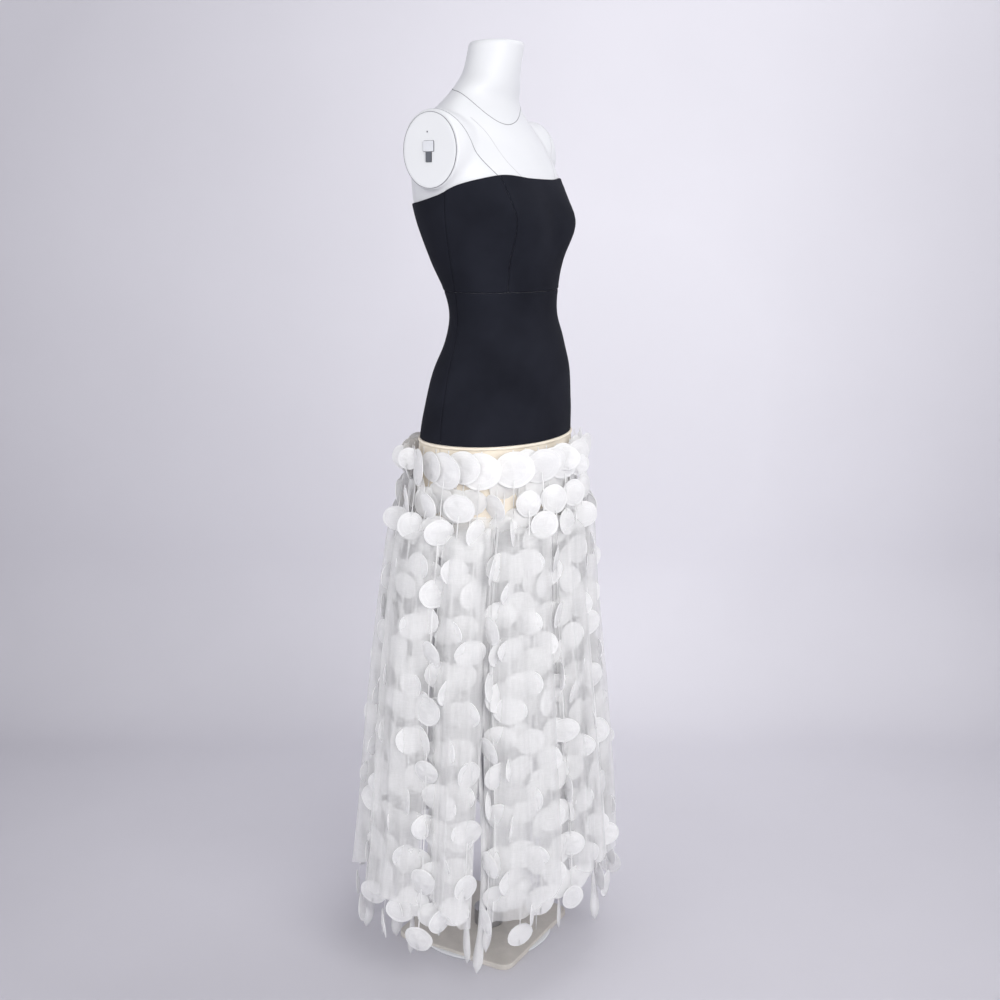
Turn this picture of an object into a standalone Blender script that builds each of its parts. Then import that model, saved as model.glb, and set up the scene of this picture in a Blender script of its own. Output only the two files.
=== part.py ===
"""A strapless maxi dress on a limbless dress form, at rest on the form's own stand.

The dress is a fitted black bodice to the hip in princess panels, an ivory hip yoke under it,
and a skirt of hanging strands of discs, each strand fused to a narrow strip on the yoke.
Behind the strands hang narrow sheer panels, parted by slits.
Metres, +Z up. The front faces -Y and the wearer's right side is -X. The origin is the middle
of the base plate's underside. A turn is an angle about the figure's axis, 0 at the front and
positive towards +X.
"""
import math
import random
from collections import namedtuple

import bmesh
import bpy

COLLECTION = "strapless_maxi_dress"
CUTTERS = "cutters"

# Cloth and seams
SEAM_GAP = 0.0003
CLOTH_EASE = 0.0010
CLOTH_WALL = 0.0015

# Heights of the dress's seams and edges
WAIST_SEAM = 1.192
BLACK_HEM = 0.946
BLACK_HEM_RISE_AT_BACK = 0.006
YOKE_HEM = 0.806
YOKE_FLARE = 0.006
SIDE_SEAM_Y = -0.018

# The figure that the cloth is cut for, a row for each level
Section = namedtuple("Section", "height half_width front back middle squareness")
FIGURE = [
    Section(0.790, 0.166, 0.108, 0.110, -0.026, 2.10),
    Section(0.870, 0.171, 0.111, 0.112, -0.027, 2.15),
    Section(0.950, 0.165, 0.108, 0.108, -0.029, 2.15),
    Section(1.000, 0.157, 0.106, 0.105, -0.033, 2.15),
    Section(1.060, 0.141, 0.099, 0.100, -0.040, 2.15),
    Section(1.110, 0.122, 0.085, 0.088, -0.046, 2.10),
    Section(1.150, 0.113, 0.076, 0.079, -0.044, 2.10),
    Section(1.190, 0.117, 0.080, 0.083, -0.040, 2.10),
    Section(1.240, 0.131, 0.092, 0.101, -0.033, 2.10),
    Section(1.300, 0.145, 0.106, 0.118, -0.028, 2.15),
    Section(1.340, 0.150, 0.101, 0.123, -0.024, 2.20),
    Section(1.390, 0.153, 0.088, 0.116, -0.017, 2.20),
    Section(1.430, 0.152, 0.076, 0.103, -0.008, 2.00),
    Section(1.460, 0.142, 0.061, 0.089, -0.003, 1.75),
    Section(1.485, 0.108, 0.052, 0.074, -0.003, 1.70),
    Section(1.502, 0.086, 0.048, 0.060, -0.006, 1.80),
    Section(1.518, 0.072, 0.047, 0.049, -0.011, 2.00),
    Section(1.540, 0.055, 0.046, 0.046, -0.018, 2.00),
    Section(1.565, 0.048, 0.046, 0.046, -0.024, 2.00),
    Section(1.590, 0.047, 0.046, 0.046, -0.029, 2.00),
]

# Soft rise of each cup over the figure
CUP_HEIGHT, CUP_TURN, CUP_LIFT = 1.300, 40.0, 0.013
CUP_REACH_UP, CUP_REACH_ROUND = 0.050, 26.0

# Neckline and princess seam, a row for each point of the curve
EdgePoint = namedtuple("EdgePoint", "turn height")
NECKLINE = [
    EdgePoint(0.0, 1.3720),
    EdgePoint(25.0, 1.3728),
    EdgePoint(50.0, 1.3765),
    EdgePoint(66.0, 1.3705),
    EdgePoint(82.0, 1.3595),
    EdgePoint(96.0, 1.3450),
    EdgePoint(118.0, 1.3350),
    EdgePoint(180.0, 1.3310),
]
NECKLINE_PEAK = 50.0
SeamPoint = namedtuple("SeamPoint", "height turn")
PRINCESS_SEAM = [
    SeamPoint(1.192, 55.2),
    SeamPoint(1.233, 52.0),
    SeamPoint(1.276, 47.6),
    SeamPoint(1.310, 46.2),
    SeamPoint(1.346, 49.6),
    SeamPoint(1.377, 54.0),
]

# Mesh density of the cloth panels
DEGREES_A_COLUMN = 10.0
FEWEST_COLUMNS = 5
UPPER_ROWS, LOWER_ROWS, YOKE_ROWS = 8, 8, 2

# Skirt strands
STRANDS_A_QUARTER = 9
STRIP_TOP_DROP = 0.0012
STRIP_HEIGHT = 0.0040
STRIP_WALL = 0.0012
STRIP_CLEARANCE = 0.0009
STRAND_THICKNESS = 0.0012
STEM_WIDTH = 0.0040
ROOT_WIDTH = 0.0050
QUARTER_GAP = 0.0010
DISC_PITCH = 0.100
DISCS_FROM_TOP_ROW, DISCS_FROM_SECOND_ROW = 9, 8
SHORT_STRANDS = (2, 4, 6, 8, 15, 20, 26, 31)
TOP_DISC_HEIGHT, TOP_DISC_HALF_WIDTH, TOP_DISC_HALF_HEIGHT = 0.912, 0.031, 0.027
SECOND_DISC_HEIGHT = 0.853
DISC_HALF_WIDTHS = (0.021, 0.029)
DISC_HALF_HEIGHTS = (0.0215, 0.0245)
DISC_SHOULDER = 0.42
SHINGLE_TWIST = 19.0
LOOSE_TWIST = 62.0
HEIGHT_SCATTER = 0.004
TUCK_START, TUCK_END, TUCK_DEPTH = 0.886, 0.842, 0.017
STRAND_SEED = 11
Strand = namedtuple("Strand", "turn is_top_row disc_count")

# Plan of the hanging strands, a row for each level
Plan = namedtuple("Plan", "height half_width front back middle")
SKIRT_PLAN = [
    Plan(0.020, 0.268, 0.236, 0.236, 0.001),
    Plan(0.250, 0.250, 0.213, 0.213, -0.010),
    Plan(0.455, 0.235, 0.191, 0.191, -0.012),
    Plan(0.650, 0.219, 0.171, 0.171, -0.014),
    Plan(0.790, 0.206, 0.157, 0.157, -0.021),
    Plan(0.853, 0.201, 0.149, 0.150, -0.025),
    Plan(0.912, 0.192, 0.138, 0.138, -0.028),
    Plan(0.936, 0.180, 0.124, 0.124, -0.029),
]

# Sheer panels that hang from the yoke behind the strands, a row for each level
VEIL_PANELS = 12
VEIL_WALL = 0.0010
VEIL_SLIT = 0.008
VEIL_COLUMNS = 2
VEIL = [
    Plan(0.165, 0.227, 0.190, 0.190, -0.007),
    Plan(0.320, 0.216, 0.177, 0.177, -0.011),
    Plan(0.560, 0.198, 0.151, 0.151, -0.014),
    Plan(0.750, 0.180, 0.1245, 0.1245, -0.023),
    Plan(YOKE_HEM - SEAM_GAP / 2.0, 0.1735, 0.1155, 0.1185, -0.026),
]

# Form and stand
FORM_COLUMNS = 26
FORM_EDGE_ROUND = 0.006
FORM_INSET = 0.0014
FORM_LEVELS = (
    0.796, 0.870, 0.950, 1.000, 1.035, 1.065, 1.090, 1.110, 1.130, 1.150, 1.170, 1.192, 1.215,
    1.240, 1.265, 1.300, 1.330, 1.350, 1.370, 1.395, 1.430, 1.460, 1.478, 1.492, 1.505, 1.520,
    1.540, 1.584,
)
ARM_END_X = 0.165
FITTING_HEIGHT, FITTING_Y = 1.411, -0.002
ArmRing = namedtuple("ArmRing", "x half_depth low high middle")
ARM_STUB = [
    ArmRing(0.060, 0.052, 1.360, 1.476, -0.002),
    ArmRing(0.110, 0.058, 1.354, 1.473, -0.003),
    ArmRing(0.140, 0.059, 1.351, 1.477, -0.003),
    ArmRing(0.158, 0.054, 1.352, 1.477, -0.003),
    ArmRing(0.165, 0.049, 1.355, 1.471, -0.003),
]
ARM_SIDES = 20
FITTING_THICKNESS = 0.0015
FITTING_BAR = (0.019, 0.016)
FITTING_STEM = (0.010, 0.016)
POLE_RADIUS = 0.0125
FLANGE_RADIUS, FLANGE_HEIGHT = 0.038, 0.008
COLLAR_RADIUS, COLLAR_HEIGHT = 0.027, 0.030
POLE_SIDES = 24
POLE_Y = -0.010
PLATE_SIDE, PLATE_THICKNESS = 0.240, 0.010
PLATE_CORNER, PLATE_EDGE = 0.022, 0.0015
PLATE_CORNER_STEPS = 5


def start_scene():
    """Empties the scene and makes the two collections."""
    for obj in list(bpy.data.objects):
        bpy.data.objects.remove(obj, do_unlink=True)
    for name in (COLLECTION, CUTTERS):
        collection = bpy.data.collections.new(name)
        bpy.context.scene.collection.children.link(collection)


def make_material(name, colour, roughness, metallic=0.0):
    material = bpy.data.materials.new(name)
    material.use_nodes = True
    shader = material.node_tree.nodes["Principled BSDF"]
    shader.inputs["Base Color"].default_value = (*colour, 1.0)
    shader.inputs["Roughness"].default_value = roughness
    shader.inputs["Metallic"].default_value = metallic
    return material


def add_object(name, mesh, material):
    obj = bpy.data.objects.new(name, mesh)
    if material:
        obj.data.materials.append(material)
    bpy.data.collections[COLLECTION].objects.link(obj)
    return obj


def mesh_from(name, points, faces, sharp_angle=40.0):
    """A mesh from points and faces, with its normals turned outwards and its round parts smooth."""
    shape = bmesh.new()
    corners = [shape.verts.new(point) for point in points]
    for face in faces:
        shape.faces.new([corners[index] for index in face])
    bmesh.ops.recalc_face_normals(shape, faces=shape.faces)
    mesh = bpy.data.meshes.new(name)
    shape.to_mesh(mesh)
    shape.free()
    mesh.shade_smooth()
    mesh.set_sharp_from_angle(angle=math.radians(sharp_angle))
    return mesh


def smooth_value(rows, key, at, column):
    """A column of a table at any place between its rows, along a smooth curve through them."""
    keys = [getattr(row, key) for row in rows]
    values = [getattr(row, column) for row in rows]
    at = min(max(at, keys[0]), keys[-1])
    last = len(rows) - 1
    low = max(index for index in range(last) if keys[index] <= at)
    slopes = []
    for index in (low, low + 1):
        before, after = max(index - 1, 0), min(index + 1, last)
        slopes.append((values[after] - values[before]) / (keys[after] - keys[before]))
    span = keys[low + 1] - keys[low]
    t = (at - keys[low]) / span
    rise = t * t * (3.0 - 2.0 * t)
    leave = t * (1.0 - t) ** 2 * span * slopes[0]
    arrive = t * t * (t - 1.0) * span * slopes[1]
    return values[low] + rise * (values[low + 1] - values[low]) + leave + arrive


def oval_radius(turn, half_width, depth, squareness=2.0):
    """Distance from the axis to a squared oval, in the direction of a turn."""
    across = abs(math.sin(turn)) / half_width
    along = abs(math.cos(turn)) / depth
    return (across**squareness + along**squareness) ** (-1.0 / squareness)


def figure_radius(height, turn):
    depth = "front" if math.cos(turn) > 0.0 else "back"
    half_width, reach, squareness = (
        smooth_value(FIGURE, "height", height, column)
        for column in ("half_width", depth, "squareness")
    )
    radius = oval_radius(turn, half_width, reach, squareness)
    degrees = abs(math.degrees(math.remainder(turn, 2.0 * math.pi)))
    round_part = (degrees - CUP_TURN) / CUP_REACH_ROUND
    up_part = (height - CUP_HEIGHT) / CUP_REACH_UP
    return radius + CUP_LIFT * math.exp(-round_part**2 - up_part**2)


def figure_point(height, turn, lift=0.0):
    """A point of the figure's skin, moved out by lift."""
    radius = figure_radius(height, turn) + lift
    middle = smooth_value(FIGURE, "height", height, "middle")
    return (radius * math.sin(turn), middle - radius * math.cos(turn), height)


def neckline(turn):
    degrees = abs(math.degrees(math.remainder(turn, 2.0 * math.pi)))
    return smooth_value(NECKLINE, "turn", degrees, "height")


def black_hem(turn):
    """The hem of the black panels, a little higher at the back."""
    return BLACK_HEM + BLACK_HEM_RISE_AT_BACK * (1.0 - math.cos(turn)) / 2.0


def side_seam(height):
    """Turn of the left side seam, which hangs in one upright plane."""
    middle = smooth_value(FIGURE, "height", height, "middle")
    half_width = smooth_value(FIGURE, "height", height, "half_width")
    return math.radians(90.0) + math.atan2(SIDE_SEAM_Y - middle, half_width)


def princess_seam(height):
    return math.radians(smooth_value(PRINCESS_SEAM, "height", height, "turn"))


def wall_solid(name, inner, outer, material):
    """A closed wall between two grids of points of one size, each a list of rows.

    Both sides are cut into triangles the same way, so that a thin wall never crosses itself.
    """
    rows, columns = len(inner), len(inner[0])
    points = [point for row in inner for point in row] + [point for row in outer for point in row]
    shift = rows * columns

    def at(row, column, side):
        return side * shift + row * columns + column

    faces = []
    for row in range(rows - 1):
        for column in range(columns - 1):
            start, right = (row, column), (row, column + 1)
            above, opposite = (row + 1, column), (row + 1, column + 1)
            for triangle in ((start, right, opposite), (start, opposite, above)):
                faces.append([at(*place, 1) for place in triangle])
                faces.append([at(*place, 0) for place in reversed(triangle)])
    border = [(0, column) for column in range(columns)]
    border += [(row, columns - 1) for row in range(1, rows)]
    border += [(rows - 1, column) for column in range(columns - 2, -1, -1)]
    border += [(row, 0) for row in range(rows - 2, 0, -1)]
    for here, there in zip(border, border[1:] + border[:1]):
        faces.append([at(*here, 0), at(*there, 0), at(*there, 1), at(*here, 1)])
    return add_object(name, mesh_from(name, points, faces), material)


def cloth_panel(name, left, right, low, high, rows, material, flare=0.0):
    """A panel of cloth on the figure between two seams and two edges.

    left and right give a seam's turn at a height, low and high an edge's height at a turn.
    """
    bottom, top = low(0.0), high(math.radians(NECKLINE_PEAK))
    middle_height = (bottom + top) / 2.0
    spread = math.degrees(right(middle_height) - left(middle_height))
    columns = max(FEWEST_COLUMNS, round(spread / DEGREES_A_COLUMN))
    inner, outer = [], []
    for row in range(rows + 1):
        part = row / rows
        level = bottom + (top - bottom) * part
        half_gap = SEAM_GAP / 2.0 / figure_radius(level, left(level))
        start, end = left(level) + half_gap, right(level) - half_gap
        inner_row, outer_row = [], []
        for column in range(columns + 1):
            turn = start + (end - start) * column / columns
            lowest = low(turn) + SEAM_GAP / 2.0
            highest = high(turn) - SEAM_GAP / 2.0
            height = lowest + (highest - lowest) * part
            lift = CLOTH_EASE + flare * (1.0 - part)
            inner_row.append(figure_point(height, turn, lift))
            outer_row.append(figure_point(height, turn, lift + CLOTH_WALL))
        inner.append(inner_row)
        outer.append(outer_row)
    return wall_solid(name, inner, outer, material)


def at_side(side):
    """The side seam of one side, -1 for the right and 1 for the left."""
    return lambda height: side * side_seam(height)


def at_princess(side):
    return lambda height: side * princess_seam(height)


def at_turn(degrees):
    return lambda height: math.radians(degrees)


def at_height(height):
    return lambda turn: height


def past_back(seam):
    """A right-hand seam counted the long way round, so that it follows the centre back."""
    return lambda height: seam(height) + 2.0 * math.pi


def make_bodice(material):
    """The black panels: five above the waist seam and three below."""
    waist = at_height(WAIST_SEAM)
    upper = (waist, neckline, UPPER_ROWS, material)
    lower = (black_hem, waist, LOWER_ROWS, material)
    right, left = -1, 1
    cloth_panel("front_upper_side_right", at_side(right), at_princess(right), *upper)
    cloth_panel("front_upper_centre", at_princess(right), at_princess(left), *upper)
    cloth_panel("front_upper_side_left", at_princess(left), at_side(left), *upper)
    cloth_panel("back_upper_left", at_side(left), at_turn(180.0), *upper)
    cloth_panel("back_upper_right", at_turn(180.0), past_back(at_side(right)), *upper)
    cloth_panel("front_lower", at_side(right), at_side(left), *lower)
    cloth_panel("back_lower_left", at_side(left), at_turn(180.0), *lower)
    cloth_panel("back_lower_right", at_turn(180.0), past_back(at_side(right)), *lower)


def make_yoke(material):
    """The ivory band that the strands hang over."""
    shape = (at_height(YOKE_HEM), black_hem, YOKE_ROWS, material, YOKE_FLARE)
    cloth_panel("yoke_front", at_side(-1), at_side(1), *shape)
    cloth_panel("yoke_back", at_side(1), past_back(at_side(-1)), *shape)


def plan_point(plan, height, turn, lift=0.0):
    """A point of a hanging layer whose plan is a table of levels, moved out by lift."""
    depth = "front" if math.cos(turn) > 0.0 else "back"
    half_width, reach, middle = (
        smooth_value(plan, "height", height, column) for column in ("half_width", depth, "middle")
    )
    radius = oval_radius(turn, half_width, reach) + lift
    return (radius * math.sin(turn), middle - radius * math.cos(turn), height)


def even_turns(plan, height, count):
    """Turns that part a plan evenly at a height, from the right side round by the front."""
    samples = 720
    start = math.radians(-90.0)
    turns = [start + 2.0 * math.pi * index / samples for index in range(samples + 1)]
    places = [plan_point(plan, height, turn) for turn in turns]
    walked = [0.0]
    for before, after in zip(places, places[1:]):
        walked.append(walked[-1] + math.dist(before, after))
    found, index = [], 0
    for number in range(count):
        goal = walked[-1] * (number + 0.5) / count
        while walked[index + 1] < goal:
            index += 1
        part = (goal - walked[index]) / (walked[index + 1] - walked[index])
        found.append(turns[index] + (turns[index + 1] - turns[index]) * part)
    return found


Disc = namedtuple("Disc", "height half_width half_height twist")


def strand_discs(dice, strand):
    """The discs of one strand from the top down, in sizes and twists drawn from the dice."""
    discs = []
    height = TOP_DISC_HEIGHT if strand.is_top_row else SECOND_DISC_HEIGHT
    for number in range(strand.disc_count):
        half_width = dice.uniform(*DISC_HALF_WIDTHS)
        half_height = dice.uniform(*DISC_HALF_HEIGHTS)
        twist = dice.uniform(-LOOSE_TWIST, LOOSE_TWIST)
        drop = dice.uniform(-HEIGHT_SCATTER, HEIGHT_SCATTER)
        if number == 0:
            twist, drop = SHINGLE_TWIST, 0.0
        if number == 0 and strand.is_top_row:
            half_width, half_height = TOP_DISC_HALF_WIDTH, TOP_DISC_HALF_HEIGHT
        discs.append(Disc(height + drop, half_width, half_height, math.radians(twist)))
        height -= DISC_PITCH
    return discs


def tuck(height):
    """How far a strand of the second row lies in, to pass behind the top row of discs."""
    part = (height - TUCK_END) / (TUCK_START - TUCK_END)
    part = min(max(part, 0.0), 1.0)
    return TUCK_DEPTH * part * part * (3.0 - 2.0 * part)


def strand_levels(discs, is_top_row):
    """Height, half width, twist and tuck of each ring down a strand."""
    levels = []
    if not is_top_row:
        levels.append((TUCK_START, STEM_WIDTH / 2.0, 0.0, TUCK_DEPTH))
    for disc in discs:
        for part, half_width in (
            (1.0, STEM_WIDTH / 2.0),
            (DISC_SHOULDER, disc.half_width),
            (-DISC_SHOULDER, disc.half_width),
            (-1.0, STEM_WIDTH / 2.0),
        ):
            height = disc.height + part * disc.half_height
            tucked = 0.0 if is_top_row else tuck(height)
            levels.append((height, half_width, disc.twist, tucked))
    return levels


def outward(height, turn):
    """Unit vector square to the strands' plan at a turn."""
    step = math.radians(0.5)
    before = plan_point(SKIRT_PLAN, height, turn - step)
    after = plan_point(SKIRT_PLAN, height, turn + step)
    along = (after[0] - before[0], after[1] - before[1])
    length = math.hypot(*along)
    return (along[1] / length, -along[0] / length)


def ring_at(centre, out, half_width, half_thickness, twist):
    """Four corners of a strand's section, from its inner left corner round to its outer left."""
    along = (-out[1], out[0])
    cos_twist, sin_twist = math.cos(twist), math.sin(twist)
    wide = (along[0] * cos_twist + out[0] * sin_twist, along[1] * cos_twist + out[1] * sin_twist)
    thick = (out[0] * cos_twist - along[0] * sin_twist, out[1] * cos_twist - along[1] * sin_twist)
    corners = []
    for side, face in ((-1, -1), (1, -1), (1, 1), (-1, 1)):
        x = centre[0] + side * half_width * wide[0] + face * half_thickness * thick[0]
        y = centre[1] + side * half_width * wide[1] + face * half_thickness * thick[1]
        corners.append((x, y, centre[2]))
    return corners


def strip_point(turn, row, face):
    """A corner of the backing strip: row 0 is its lower edge, face 0 lies on the yoke."""
    top = black_hem(turn) - STRIP_TOP_DROP
    height = top - STRIP_HEIGHT * (1 - row)
    rows_from_top = (black_hem(turn) - height) / (black_hem(turn) - YOKE_HEM)
    on_yoke = CLOTH_EASE + YOKE_FLARE * rows_from_top + CLOTH_WALL
    return figure_point(height, turn, on_yoke + STRIP_CLEARANCE + STRIP_WALL * face)


def strand_side(upper, lower, place):
    """One side of a strand between two rings, as triangles that match the opposite side's."""
    after = (place + 1) % 4
    if place < 2:
        return [
            [upper[place], upper[after], lower[after]],
            [upper[place], lower[after], lower[place]],
        ]
    return [
        [upper[place], upper[after], lower[place]],
        [upper[after], lower[after], lower[place]],
    ]


def make_fringe(name, start, strands, dice, material):
    """One backing strip over a quarter of the yoke, with its strands fused to its lower edge."""
    points, faces = [], []
    half_gap = QUARTER_GAP / 2.0 / figure_radius(BLACK_HEM, start)
    turns, roots = [start + half_gap], []
    for strand in strands:
        half_root = ROOT_WIDTH / 2.0 / figure_radius(BLACK_HEM, strand.turn)
        roots.append(len(turns))
        turns += [strand.turn - half_root, strand.turn + half_root]
    turns.append(start + math.pi / 2.0 - half_gap)
    for turn in turns:
        for row, face in ((0, 0), (0, 1), (1, 1), (1, 0)):
            points.append(strip_point(turn, row, face))

    def corner(column, place):
        return 4 * column + place

    for column in range(len(turns) - 1):
        for place in range(4):
            if place == 0 and column in roots:
                continue
            after = (place + 1) % 4
            faces.append([
                corner(column, place), corner(column, after),
                corner(column + 1, after), corner(column + 1, place),
            ])
    faces.append([corner(0, place) for place in range(4)])
    faces.append([corner(len(turns) - 1, place) for place in (3, 2, 1, 0)])

    for column, strand in zip(roots, strands):
        ring = [corner(column, 0), corner(column + 1, 0), corner(column + 1, 1), corner(column, 1)]
        discs = strand_discs(dice, strand)
        for height, half_width, twist, tucked in strand_levels(discs, strand.is_top_row):
            centre = plan_point(SKIRT_PLAN, height, strand.turn, -tucked)
            out = outward(height, strand.turn)
            lower = list(range(len(points), len(points) + 4))
            points += ring_at(centre, out, half_width, STRAND_THICKNESS / 2.0, twist)
            for place in range(4):
                faces += strand_side(ring, lower, place)
            ring = lower
        faces.append(ring)
    return add_object(name, mesh_from(name, points, faces), material)


def make_skirt(material):
    """Four quarters of strands, each its own backing strip."""
    dice = random.Random(STRAND_SEED)
    turns = even_turns(SKIRT_PLAN, TOP_DISC_HEIGHT, 4 * STRANDS_A_QUARTER)
    strands = []
    for number, turn in enumerate(turns):
        is_top_row = number % 2 == 0
        disc_count = DISCS_FROM_TOP_ROW if is_top_row else DISCS_FROM_SECOND_ROW
        if number in SHORT_STRANDS:
            disc_count -= 1
        strands.append(Strand(turn, is_top_row, disc_count))
    quarters = (
        "fringe_front_right",
        "fringe_front_left",
        "fringe_back_left",
        "fringe_back_right",
    )
    for order, name in enumerate(quarters):
        start = math.radians(90.0 * (order - 1))
        first = order * STRANDS_A_QUARTER
        own = strands[first : first + STRANDS_A_QUARTER]
        make_fringe(name, start, own, dice, material)


def veil_point(level, turn, lift):
    """A point of the sheer panels, whose top edge follows the yoke's hem."""
    if level is VEIL[-1]:
        return figure_point(level.height, turn, CLOTH_EASE + YOKE_FLARE + CLOTH_WALL + lift)
    return plan_point(VEIL, level.height, turn, lift)


def make_veil(material):
    """Sheer panels from the yoke's hem down, parted by narrow slits."""
    middles = even_turns(VEIL, VEIL[-1].height, VEIL_PANELS)
    spread = [(after - before) / 2.0 for before, after in zip(middles, middles[1:])]
    spread.append((middles[0] + 2.0 * math.pi - middles[-1]) / 2.0)
    for number, middle in enumerate(middles):
        start, end = middle - spread[number - 1], middle + spread[number]
        inner, outer = [], []
        for level in VEIL:
            half_slit = VEIL_SLIT / 2.0 / oval_radius(middle, level.half_width, level.front)
            inner_row, outer_row = [], []
            for column in range(VEIL_COLUMNS + 1):
                part = column / VEIL_COLUMNS
                turn = start + half_slit + (end - start - 2.0 * half_slit) * part
                inner_row.append(veil_point(level, turn, -VEIL_WALL))
                outer_row.append(veil_point(level, turn, 0.0))
            inner.append(inner_row)
            outer.append(outer_row)
        wall_solid("veil_panel_%02d" % (number + 1), inner, outer, material)


def loft(name, rings, material):
    """A closed solid through rings of equal counts, with flat ends."""
    count = len(rings[0])
    points = [point for ring in rings for point in ring]
    faces = []
    for level in range(len(rings) - 1):
        for place in range(count):
            after = (place + 1) % count
            low, high = level * count, (level + 1) * count
            faces.append([low + place, low + after, high + after, high + place])
    faces.append(list(range(count)))
    faces.append([(len(rings) - 1) * count + place for place in range(count)])
    return add_object(name, mesh_from(name, points, faces), material)


def joined_by_union(obj, other):
    """Unites obj with other by a Boolean, and keeps other as a helper in the cutters."""
    bpy.data.collections[COLLECTION].objects.unlink(other)
    bpy.data.collections[CUTTERS].objects.link(other)
    other.hide_render = True
    other.display_type = "WIRE"
    union = obj.modifiers.new("join_" + other.name, "BOOLEAN")
    union.operation = "UNION"
    union.object = other


def arm_point(ring, side, angle):
    """A point of an arm stub's oval ring, on the figure's right for side -1."""
    centre = (ring.low + ring.high) / 2.0
    half_height = (ring.high - ring.low) / 2.0
    across = ring.middle + ring.half_depth * math.cos(angle)
    return (side * ring.x, across, centre + half_height * math.sin(angle))


def make_form(material):
    """The torso from its flat underside to the neck cap, with a flat-ended stub for each arm."""
    bottom, top = FIGURE[0].height, FIGURE[-1].height
    levels = [(height, FORM_INSET) for height in FORM_LEVELS]
    levels.insert(0, (bottom, FORM_EDGE_ROUND))
    levels.append((top, FORM_EDGE_ROUND))
    rings = [
        [
            figure_point(height, 2.0 * math.pi * place / FORM_COLUMNS, -inset)
            for place in range(FORM_COLUMNS)
        ]
        for height, inset in levels
    ]
    torso = loft("form_torso", rings, material)
    for side, word in ((-1, "right"), (1, "left")):
        stub_rings = []
        for ring in ARM_STUB:
            stub_rings.append([
                arm_point(ring, side, 2.0 * math.pi * place / ARM_SIDES)
                for place in range(ARM_SIDES)
            ])
        joined_by_union(torso, loft("arm_stub_" + word, stub_rings, material))
    return torso


def make_fittings(material):
    """A small T-shaped plate on each flat arm end."""
    bar_width, bar_height = FITTING_BAR
    stem_width, stem_height = FITTING_STEM
    outline = [
        (-bar_width / 2.0, 0.0), (-stem_width / 2.0, 0.0), (-stem_width / 2.0, -stem_height),
        (stem_width / 2.0, -stem_height), (stem_width / 2.0, 0.0), (bar_width / 2.0, 0.0),
        (bar_width / 2.0, bar_height), (-bar_width / 2.0, bar_height),
    ]
    for side, word in ((-1, "right"), (1, "left")):
        near = side * (ARM_END_X + SEAM_GAP)
        far = side * (ARM_END_X + SEAM_GAP + FITTING_THICKNESS)
        rings = [
            [(x, FITTING_Y + across, FITTING_HEIGHT + up) for across, up in outline]
            for x in (near, far)
        ]
        loft("arm_fitting_" + word, rings, material)


def make_pole(material):
    """Pole with its flange under the torso and its collar on the plate, as one turned piece."""
    foot = PLATE_THICKNESS + SEAM_GAP
    head = FIGURE[0].height - SEAM_GAP
    profile = [
        (0.0, head), (FLANGE_RADIUS, head), (FLANGE_RADIUS, head - FLANGE_HEIGHT),
        (POLE_RADIUS, head - FLANGE_HEIGHT), (POLE_RADIUS, foot + COLLAR_HEIGHT),
        (COLLAR_RADIUS, foot + COLLAR_HEIGHT), (COLLAR_RADIUS, foot), (0.0, foot),
    ]
    mesh = bpy.data.meshes.new("stand_pole")
    edges = [(index, index + 1) for index in range(len(profile) - 1)]
    mesh.from_pydata([(radius, 0.0, height) for radius, height in profile], edges, [])
    pole = add_object("stand_pole", mesh, material)
    pole.location = (0.0, POLE_Y, 0.0)
    screw = pole.modifiers.new("turn", "SCREW")
    screw.steps = screw.render_steps = POLE_SIDES
    screw.use_merge_vertices = True
    screw.merge_threshold = 0.0001
    return pole


def make_plate(material):
    """The square base plate, its upright edges round and its rim slightly eased."""
    shape = bmesh.new()
    bmesh.ops.create_cube(shape, size=1.0)
    for corner in shape.verts:
        corner.co.x *= PLATE_SIDE
        corner.co.y *= PLATE_SIDE
        corner.co.z = (corner.co.z + 0.5) * PLATE_THICKNESS
    upright = [edge for edge in shape.edges if edge.verts[0].co.z != edge.verts[1].co.z]
    bmesh.ops.bevel(
        shape,
        geom=upright,
        offset=PLATE_CORNER,
        segments=PLATE_CORNER_STEPS,
        profile=0.5,
        affect="EDGES",
    )
    mesh = bpy.data.meshes.new("base_plate")
    shape.to_mesh(mesh)
    shape.free()
    plate = add_object("base_plate", mesh, material)
    rim = plate.modifiers.new("rim", "BEVEL")
    rim.width = PLATE_EDGE
    rim.segments = 1
    rim.limit_method = "ANGLE"
    rim.angle_limit = math.radians(60.0)
    return plate


def main():
    start_scene()
    crepe = make_material("black_crepe", (0.018, 0.019, 0.026), 0.85)
    lining = make_material("ivory_yoke", (0.86, 0.80, 0.70), 0.70)
    organza = make_material("white_organza", (0.90, 0.90, 0.89), 0.50)
    sheer = make_material("sheer_organza", (0.84, 0.84, 0.86), 0.55)
    gloss = make_material("form_white_gloss", (0.86, 0.86, 0.88), 0.22)
    steel = make_material("bright_steel", (0.72, 0.72, 0.73), 0.30, metallic=1.0)
    plate = make_material("base_plate_paint", (0.40, 0.37, 0.34), 0.45)
    make_bodice(crepe)
    make_yoke(lining)
    make_skirt(organza)
    make_veil(sheer)
    make_form(gloss)
    make_fittings(steel)
    make_pole(steel)
    make_plate(plate)


main()
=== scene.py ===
"""Looks of the strapless maxi dress and of the limbless dress form that it stands on.

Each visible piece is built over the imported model, from the same tables as the part. Metres, +Z up.
The front faces -Y and the wearer's right side is -X. A turn is an angle about the figure's axis,
0 at the front and positive towards +X.
"""
import math
import random
from collections import namedtuple

import bmesh
import bpy
import numpy as np
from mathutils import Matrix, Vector
from mathutils.bvhtree import BVHTree


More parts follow.
